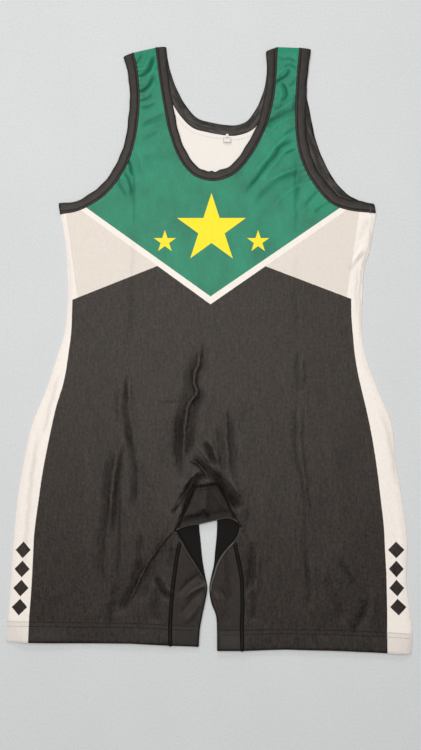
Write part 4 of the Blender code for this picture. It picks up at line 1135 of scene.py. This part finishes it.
def buildBackPanel():
    sizes = backPanelSizes
    left, right = sideLines()
    leftGap, rightGap = climb(leftGapX, 0.0112, 0.193), climb(rightGapX, 0.0056, 0.1945)
    loop = ring(
        right,
        moved(edges["rightArmBack"], sizes["tuck"])[::-1],
        moved(edges["backNeck"], sizes["tuck"])[::-1],
        moved(edges["leftArm"], -sizes["tuck"]),
        left[::-1],
        hemLine(left[0][0], leftGap[0][0], "left"),
        leftGap,
        rightGap[::-1],
        hemLine(rightGap[0][0], right[0][0], "right"),
    )
    corners = [left[0], right[0], leftGap[0], rightGap[0]]
    bm = cutSheet(loop, sizes["cell"], corners, (openNeck,))
    layOn(extrudeUp(bm), backTop)  # its lower face stays flat on the floor
    bmesh.ops.recalc_face_normals(bm, faces=bm.faces)
    for face in bm.faces:  # the inside is bare white and the outside dyed; between the legs the inside takes the dark print as painted shade
        x, y = face.calc_center_median()[:2]
        innerLeg = abs(x) < 0.075 and y - suit["hemY"] < 0.27
        face.material_index = 0 if face.normal.z > 0.5 and not innerLeg else 1
    piece = showPiece("backPanel", bm, insideKnit, ["back_panel"])
    piece.data.materials.append(outsideKnit)
    giveBands(piece)
    return piece, areaOf(loop)


backPanel, backArea = buildBackPanel()

gussetSizes = {"cell": 0.0011, "under": 0.0009}  # size of a face, and how far it reaches under the front cloth


def buildGusset():
    under = gussetSizes["under"]
    loop = ring(
        gussetTop + [0, under], moved(gussetSeams[1], under), gussetRoll[::-1], moved(gussetSeams[0], -under)[::-1]
    )
    bm = cutSheet(loop, gussetSizes["cell"], [gussetRoll[0], gussetRoll[-1]])
    thicken(bm, gussetHeight, suit["wall"])
    piece = showPiece("gusset", bm, gussetKnit, ["crotch_gusset"])
    x, y, _ = meshPlaces(piece).T
    fromRoll = measure(x, y, gussetRoll)[0]
    # the painted highlight along the gusset's rolled edge is placed by this distance
    giveAttribute(piece, "fromRoll", fromRoll - 0.0008)
    # painted shade: a darker band in the hollow above the rolled edge on the left, and the right half of the gusset
    # darker
    hollow = hump(fromRoll - 0.0085, 0.004) * soft((0.004 - x) / 0.01)
    paintedShadeRightHalf = soft((x + 0.0085) / 0.005)
    giveAttribute(piece, "shade", np.clip(shadeOf(x, y) - 0.45 * hollow - 0.3 * paintedShadeRightHalf, -1, 1))
    return piece, areaOf(loop)


gusset, gussetArea = buildGusset()

innerLegSizes = {"cell": 0.0012, "seam": 0.0005, "fainterHighlightLeft": 0.0006}  # the painted highlight on the left edge is fainter


def buildInnerLeg(side):
    sizes = innerLegSizes
    if side == "left":
        roll, towardsGap = gussetRoll, 1
        seam, gap = inseamLine("left", -sizes["seam"]), climb(leftGapX, 0.0112, 0.1812)
    else:
        roll, towardsGap = gussetRoll[::-1], -1
        seam, gap = inseamLine("right", sizes["seam"]), climb(rightGapX, 0.0056, 0.1868)
    under = [place for place in roll if towardsGap * (gap[-1][0] - place[0]) > 0.004]
    loop = ring(
        seam, rollToCorner(side), np.array(under[1:]), gap[::-1], hemLine(gap[0][0], seam[0][0], side)
    )
    bm = cutSheet(loop, sizes["cell"], [gap[0], gap[-1]])
    thicken(bm, stripTop, suit["wall"])
    piece = showPiece("innerLeg" + side.capitalize(), bm, stripKnit, ["inner_leg_" + side])
    x, y, _ = meshPlaces(piece).T
    past = (x - leftRollX(y)) if side == "left" else (rightRollX(y) - x)
    rim = (leftGapX(y) - x) if side == "left" else (x - rightGapX(y))
    # painted shade along the leg's edge at the gap, below the opening's narrowest place
    paintedGapEdgeShade = hump(rim, 0.0030) * soft((0.10 - y) / 0.01)
    giveAttribute(piece, "shade", np.clip(shadeOf(x, y) - paintedGapEdgeShade, -1, 1))
    # painted shade: inside the leg, past the turned edge, the knit is near black
    giveAttribute(piece, "recessShade", soft((past - 0.0010) / 0.0016) * soft((y - 0.095) / 0.02))
    # painted highlight along the crest of the turned edge: near the waist it moves out towards the gap, and lower down
    # it fades away
    narrow = 0.0028 * soft((0.125 - y) / 0.03)
    past = np.abs(past + 0.0002 - narrow) + (sizes["fainterHighlightLeft"] if side == "left" else 0)
    giveAttribute(piece, "fromRoll", past * (1 + 12 * soft((0.092 - y) / 0.02)))
    return piece, areaOf(loop)


innerLegs = {side: buildInnerLeg(side) for side in ("left", "right")}
print("panels made")


tape = {  # section of a folded tape: share of the way out from the seam, height in mm from its middle
    "section": [
        (0.00, 0.25), (0.02, 0.75), (0.07, 0.95), (0.16, 0.98), (0.205, 0.85), (0.235, 0.45), (0.265, 0.85),
        (0.33, 1.02), (0.50, 1.10), (0.68, 1.12), (0.84, 1.02), (0.93, 0.78), (0.98, 0.40), (1.00, -0.05),
        (0.97, -0.55), (0.88, -0.85), (0.60, -0.98), (0.30, -0.98), (0.08, -0.92), (0.00, -0.45),
    ],
    "turnBack": 0.0018,
    "turnBlend": 0.03,
    "turnSteps": 9,
    "low": 0.0010,           # middle of the tape on the back
    "threadAt": (0.235, 0.00062),
    "threadPitch": 0.0026,
    "thread": (0.0022, 0.0005, 0.0004),  # length, width and height of a stitch
}

bindings = {  # front line, back line, widths, which side is outwards, and the outer corner and direction of each turn
    "neckBinding": {
        "lines": ("frontNeck", "backNeck"), "widths": (0.0133, 0.0150), "outward": 1,
        "turns": ((-0.0619, 0.8490, -0.04, 1.0), (0.0776, 0.8428, -0.37, 0.93)), "node": "neck_binding",
        "join": (  # where its ends were joined: share of the way round, swelling, reach
            (0.452, 0.05, 0.006), (0.474, -0.05, 0.004), (0.488, 0.09, 0.0045), (0.503, -0.07, 0.0035),
            (0.525, 0.05, 0.006),
        ),
    },
    "armholeBindingLeft": {
        "lines": ("leftArm", "leftArm"), "widths": (0.0142, 0.0142), "outward": -1,
        "turns": ((-0.1218, 0.8352, -0.39, 0.92), (-0.2121, 0.6307, -0.99, -0.13)), "node": "armhole_binding_left",
    },
    "armholeBindingRight": {
        "lines": ("rightArm", "rightArmBack"), "widths": (0.0156, 0.0156), "outward": 1,
        "turns": ((0.1404, 0.8456, 0.14, 0.99), (0.2285, 0.6300, 0.98, 0.19)), "node": "armhole_binding_right",
    },
}


def pulledBack(end, before, turn):
    outer = np.array(turn[:2])
    away = unit(np.array(turn[2:]))
    return end - unit(end - before) * tape["turnBack"], outer - away * tape["turnBack"]


def tapeRun(line, outward, width, turnStart, turnEnd, level, facing, seed, join=()):
    travel = travelOf(line)
    unevenness = 0.030 * np.sin(travel * 95 + seed) + 0.022 * np.sin(travel * 231 + 2 * seed)
    wobble = 1 + unevenness * (1 if facing > 0 else 0.35)
    for spot, swell, reach in join:
        wobble = wobble + swell * hump(travel - spot * travel[-1], reach)
    outer = line + leftNormals(line) * outward * width * wobble[:, None]
    for turn, share, end in (
        (turnStart, travel / tape["turnBlend"], line[0]),
        (turnEnd, (travel[-1] - travel) / tape["turnBlend"], line[-1]),
    ):
        blend = soft(share)[:, None]
        outer = blend * outer + (1 - blend) * (line + np.array(turn[:2]) - end)
    pairs = list(zip(line, outer))
    pairs[0], pairs[-1] = pulledBack(line[0], line[1], turnStart), pulledBack(line[-1], line[-2], turnEnd)
    places = np.array([pair[0] for pair in pairs])
    heights = level + (0.5 * ripple(places[:, 0], places[:, 1]) if facing > 0 else 0 * travel)
    return [
        (np.append(inner, z), np.append(out, z), np.array([0, 0, facing]), 1 if facing < 0 else 0)
        for (inner, out), z in zip(pairs, heights)
    ]


def tapeTurn(end, before, turn, high, low):
    inner, outer = pulledBack(end, before, turn)
    away = np.append(unit(np.array(turn[2:])), 0)
    middle, radius = 0.5 * (high + low), 0.5 * (high - low)
    sections = []
    for share in np.linspace(0, 1, tape["turnSteps"] + 2)[1:-1]:
        angle = math.pi * share
        shift = away * radius * math.sin(angle)
        z = middle + radius * math.cos(angle)
        normal = away * math.sin(angle) + np.array([0, 0, math.cos(angle)])
        sections.append((np.append(inner, z) + shift, np.append(outer, z) + shift, normal, 0.5))
    return sections


def wrappedGrid(rows, columns, places, uvs=None):
    # a grid whose rows run round a closed band and whose columns run round its section
    bm = bmesh.new()
    bmesh.ops.create_grid(bm, x_segments=rows, y_segments=columns, size=0.5)
    cells = {}
    for vert in bm.verts:
        cells[vert] = (int(round((vert.co.x + 0.5) * rows)), int(round((vert.co.y + 0.5) * columns)))
    if uvs is not None:
        layer = bm.loops.layers.uv.new("tape")
        for face in bm.faces:
            for loop in face.loops:
                loop[layer].uv = uvs[cells[loop.vert]]
    for vert, (row, column) in cells.items():
        vert.co = places[row % len(places)][column % columns]
    return bm


def buildBinding(name, facts):
    front, back = (edges[line] for line in facts["lines"])
    turnStart, turnEnd = facts["turns"]
    high, low = suit["frontLie"], tape["low"]
    seed = len(name)
    sections = tapeRun(
        front, facts["outward"], facts["widths"][0], turnStart, turnEnd, high, 1, seed, facts.get("join", ())
    )
    frontCount = len(sections)
    sections += tapeTurn(front[-1], front[-2], turnEnd, high, low)
    sections += tapeRun(back[::-1], -facts["outward"], facts["widths"][1], turnEnd, turnStart, low, -1, seed + 3)
    sections += tapeTurn(front[0], front[1], turnStart, high, low)[::-1]
    profile = tape["section"]
    places = []
    for inner, outer, normal, _ in sections:
        inner, outer = toFrame([inner, outer])
        places.append([Vector(inner + (outer - inner) * share + normal * height / 1000) for share, height in profile])
    rows, columns = len(places), len(profile)
    along = travelOf(np.array([section[0] for section in sections] + [sections[0][0]]))
    width = np.linalg.norm(sections[0][1] - sections[0][0])
    around = travelOf(np.array([[share * width, height / 1000] for share, height in profile + profile[:1]]))
    uvs = {(row, column): (along[row], around[column]) for row in range(rows + 1) for column in range(columns + 1)}
    bm = wrappedGrid(rows, columns, places, uvs)
    bmesh.ops.remove_doubles(bm, verts=bm.verts, dist=1e-6)
    bmesh.ops.recalc_face_normals(bm, faces=bm.faces)
    piece = showPiece(name, bm, bindingTape, [facts["node"]], sharp=0)
    # the stretch on the back shows its darker inner face
    owner = kdtree.KDTree(rows * columns)
    for row, points in enumerate(places):
        for point in points:
            owner.insert(point, row)
    owner.balance()
    inner = [sections[owner.find(vert.co)[1]][3] for vert in piece.data.vertices]
    giveAttribute(piece, "inner", inner)
    return piece, sections[:frontCount]


def sewStitches(name, rows, material):
    # each stitch is a small flattened bead laid along its row
    bm = bmesh.new()
    for spot, along, (length, width, height) in rows:
        along = Vector(along).normalized()
        across = Vector((0, 0, 1)).cross(along).normalized()
        up = along.cross(across)
        turn = Matrix((along, across, up)).transposed().to_4x4()
        size = Matrix.Diagonal((0.5 * length, 0.5 * width, 0.5 * height, 1))
        bmesh.ops.create_uvsphere(
            bm, u_segments=6, v_segments=4, radius=1, matrix=Matrix.Translation(spot) @ turn @ size
        )
    return showPiece(name, bm, material, sharp=0)


def stitchesAlong(line, top, lift, size):
    rows = []
    for spot, after, z in zip(line, line[1:], top(line[:, 0], line[:, 1])):
        rows.append((Vector((*toFrame([spot])[0], z + lift)), (*(after - spot), 0), size))
    return rows


def rowOnTape(sections):  # beside the ridge along the tape's inner edge
    share, height = tape["threadAt"]
    points = np.array([inner + (outer - inner) * share + normal * height for inner, outer, normal, _ in sections])
    spots = evenly(toFrame(points), tape["threadPitch"])
    return [
        (Vector(0.5 * (before + after)), after - before, tape["thread"]) for before, after in zip(spots, spots[1:])
    ]


bindingPieces = {}
bindingThread = []
for name, facts in bindings.items():
    bindingPieces[name], shown = buildBinding(name, facts)
    bindingThread += rowOnTape(shown[3:-3])
bindingStitches = sewStitches("bindingStitches", bindingThread, darkThread)
print("bindings made")


inseamSizes = {
    "width": 0.0056, "height": 0.0026, "lift": 0.0004, "pastHem": 0.0016, "endDrop": 0.0016, "steps": 10,
    "threadPitch": 0.0019, "thread": (0.0042, 0.0008, 0.0007),
}


def buildInseam(side):
    sizes = inseamSizes
    middle = evenly(inseamLine(side, 0), 0.0015)
    first = middle[0] + unit(middle[0] - middle[1]) * sizes["pastHem"]
    middle = evenly(np.vstack([first, middle]), 0.0015)
    normals = leftNormals(middle)
    base = frontTop(middle[:, 0], np.maximum(middle[:, 1], middle[1, 1]))
    travel = travelOf(middle)
    ends = quarter(np.minimum(travel / 0.0022, (travel[-1] - travel) / 0.005))
    columns = sizes["steps"]
    places = []
    for spot, normal, z, end, run in zip(middle, normals, base, ends, travel):
        end = max(end, 0.02)
        swell = 1 + 0.05 * math.sin(run * 900)
        section = []
        for step in range(columns):
            angle = 2 * math.pi * step / columns
            aside = normal * math.cos(angle) * 0.5 * sizes["width"] * end * swell
            rise = math.sin(angle) * 0.5 * sizes["height"] * end
            height = z + sizes["lift"] + rise - sizes["endDrop"] * (1 - end)
            section.append(Vector((*toFrame([spot + aside])[0], height)))
        places.append(section)
    bm = wrappedGrid(len(places) - 1, columns, places)
    bmesh.ops.remove_doubles(bm, verts=bm.verts, dist=1e-6)
    bmesh.ops.holes_fill(bm, edges=[edge for edge in bm.edges if edge.is_boundary], sides=0)
    bmesh.ops.recalc_face_normals(bm, faces=bm.faces)
    piece = showPiece("inseam" + side.capitalize(), bm, darkThread, ["inseam_" + side], sharp=0)
    # slanting threads that cover it
    marks = evenly(middle[2:-2], sizes["threadPitch"])
    onRoll = sizes["lift"] + 0.5 * sizes["height"] - 0.0002
    stitches = []
    for spot, (x, y, _), size in stitchesAlong(marks, frontTop, onRoll, sizes["thread"]):
        stitches.append((spot, (-0.9 * y + 0.45 * x, 0.9 * x + 0.45 * y, 0), size))
    return piece, stitches


inseamPieces, seamThread = [], []
for side in ("left", "right"):
    piece, stitches = buildInseam(side)
    inseamPieces.append(piece)
    seamThread += stitches
inseamStitches = sewStitches("inseamStitches", seamThread, darkThread)

hemThread = {"rows": (0.0226, 0.0286), "pitch": 0.0026, "thread": (0.0027, 0.0010, 0.0005), "inseam": 0.004}
neckThread = {"inset": 0.0052, "pitch": 0.0027, "thread": (0.0022, 0.0006, 0.0004), "below": 0.79}
bars = {"count": 9, "from": (370.0, 207.9), "zigzag": 0.1, "pitch": 0.68, "thread": (0.0032, 0.0009, 0.0006)}


def hemRows():
    aside = hemThread["inseam"]  # the rows stop this far from the inseams
    runs = (
        ("left", leftInseamX(0.03) - aside, -0.2855, 60, frontTop),
        ("right", rightInseamX(0.03) + aside, 0.2805, 60, frontTop),
        ("left", leftInseamX(0.03) + aside, leftRollX(0.03), 20, stripTop),
        ("right", rightInseamX(0.03) - aside, rightRollX(0.03), 20, stripTop),
    )
    dark, pale = [], []
    for side, inner, outer, count, top in runs:
        for rise in hemThread["rows"]:
            across = np.linspace(float(inner), float(outer), count)
            line = evenly(np.column_stack([across, hemHeight(across, side) + rise]), hemThread["pitch"])
            for (x, y), row in zip(line, stitchesAlong(line, top, 0.00002, hemThread["thread"])):
                onBand = x < leftBandX(y) or x > rightBandX(y)
                (pale if onBand else dark).append(row)
    return dark, pale


def backNeckRow():  # the binding's inner edge is caught down on the inside of the back
    line = moved(edges["backNeck"], -neckThread["inset"])[12:-12]
    line = evenly(line[line[:, 1] < neckThread["below"]], neckThread["pitch"])
    return stitchesAlong(line, backTop, 0.0001, neckThread["thread"])


def bartackRow():  # short bars that lock the end of the right armhole binding
    px, py = bars["from"]
    steps = range(bars["count"])
    spots = toFrame([picture(px + bars["zigzag"] * (step % 2), py + bars["pitch"] * step) for step in steps])
    return [(Vector((*spot, suit["frontLie"] + 0.0013)), (1, 0.06, 0), bars["thread"]) for spot in spots]


bartack = sewStitches("bartack", bartackRow(), tackThread)
neckStitches = sewStitches("neckStitches", backNeckRow(), softThread)
darkRows, paleRows = hemRows()
hemStitches = sewStitches("hemStitches", darkRows, darkThread)
hemStitchesPale = sewStitches("hemStitchesPale", paleRows, paleThread)
print("seams made")


labelSizes = {
    "at": (0.0233, 0.7190), "width": 0.0112, "height": 0.0072, "lift": 0.0012, "bow": 0.0007, "thick": 0.0004,
    "tabWidth": 0.0038, "tab": 0.0060,
}


def buildLabel():
    # a strip folded in two: its fold hangs free, and a narrow tab runs up under the binding
    sizes = labelSizes
    x, y = toFrame([sizes["at"]])[0]
    bm = bmesh.new()
    for width, height, middle, lift, bow in (
        (sizes["width"], sizes["height"], 0, sizes["lift"], sizes["bow"]),
        (sizes["tabWidth"], sizes["tab"], 0.5 * (sizes["height"] + sizes["tab"]) - 0.001, 0.0007, 0.0),
    ):
        made = bmesh.ops.create_grid(bm, x_segments=16, y_segments=12, size=0.5)
        place = Matrix.Translation((x, y + middle, 0)) @ Matrix.Diagonal((width, height, 1, 1))
        bmesh.ops.transform(bm, matrix=place, verts=made["verts"])
        for vert in made["verts"]:
            across = (vert.co.x - x) / width
            down = 0.5 - (vert.co.y - y - middle) / height
            vert.co.z = suit["backTop"] + 0.0006 + lift * soft(down) + bow * (1 - 4 * across**2) * down
    bmesh.ops.translate(bm, verts=extrudeUp(bm), vec=(0, 0, sizes["thick"]))
    bmesh.ops.recalc_face_normals(bm, faces=bm.faces)
    piece = showPiece("sizeLabel", bm, labelTape, ["size_label"])
    places = np.abs(meshPlaces(piece) - [*sizes["at"], 0])
    rim = np.minimum(0.5 * sizes["width"] - places[:, 0], 0.5 * sizes["height"] - places[:, 1])
    giveAttribute(piece, "shade", -0.65 * hump(rim, 0.0009))
    return piece


sizeLabel = buildLabel()


studio = {
    "floorColour": tone(209, 212, 214),
    "softboxes": (           # name, power, place, width and depth
        ("overhead", 42.0, (-0.16, 0.24, 2.2), 1.6, 1.8),
        ("window", 15.0, (-0.45, 2.3, 1.5), 0.8, 0.6),
    ),
    "sky": 0.25,
    "cameraHeight": 1.5,
    "viewHeight": 1.05,      # metres of floor that the picture's height covers
    "viewAt": (0.0020, -0.03415),
    "floorReach": 12,
    "floorDrop": 0.0002,
}


def buildFloor():
    bm = bmesh.new()
    bmesh.ops.create_grid(bm, x_segments=1, y_segments=1, size=studio["floorReach"])
    bmesh.ops.translate(bm, verts=bm.verts, vec=(0, 0, -studio["floorDrop"]))
    mesh = bpy.data.meshes.new("floor")
    bm.to_mesh(mesh)
    bm.free()
    floor = bpy.data.objects.new("floor", mesh)
    bpy.context.scene.collection.objects.link(floor)
    material, tree, shader = newMaterial("palePaper", 0.75, 0.2)
    place = objectPlace(tree)
    cloud = noiseOf(tree, place, (9, 6, 6), 5.0, 0.6)
    fine = noiseOf(tree, place, (330, 330, 330), 3.0, 0.65)
    level = varied(tree, varied(tree, 1, cloud, 0.07), fine, 0.24)
    feed(tree, shader.inputs["Base Color"], atLevel(tree, studio["floorColour"], level))
    mesh.materials.append(material)


def buildLights():
    world = bpy.data.worlds.new("studio")
    world.use_nodes = True
    world.node_tree.nodes["Background"].inputs["Color"].default_value = (1.0, 0.99, 0.98, 1)
    world.node_tree.nodes["Background"].inputs["Strength"].default_value = studio["sky"]
    bpy.context.scene.world = world
    for name, power, place, width, depth in studio["softboxes"]:
        lamp = bpy.data.lights.new(name, "AREA")
        lamp.shape = "RECTANGLE"
        lamp.energy = power
        lamp.size, lamp.size_y = width, depth
        lamp.color = (1.0, 0.98, 0.955)
        box = bpy.data.objects.new(name, lamp)
        box.location = place
        box.rotation_euler = (Vector((0, 0, 0)) - box.location).to_track_quat("-Z", "Y").to_euler()
        bpy.context.scene.collection.objects.link(box)


def buildCamera():
    lens = bpy.data.cameras.new("camera")
    lens.sensor_width = 36
    lens.lens = 36 * studio["cameraHeight"] / studio["viewHeight"]
    camera = bpy.data.objects.new("camera", lens)
    camera.location = (*studio["viewAt"], studio["cameraHeight"])
    bpy.context.scene.collection.objects.link(camera)
    bpy.context.scene.camera = camera


buildFloor()
buildLights()
buildCamera()
bpy.context.scene.view_settings.view_transform = "Standard"
print("stage set")
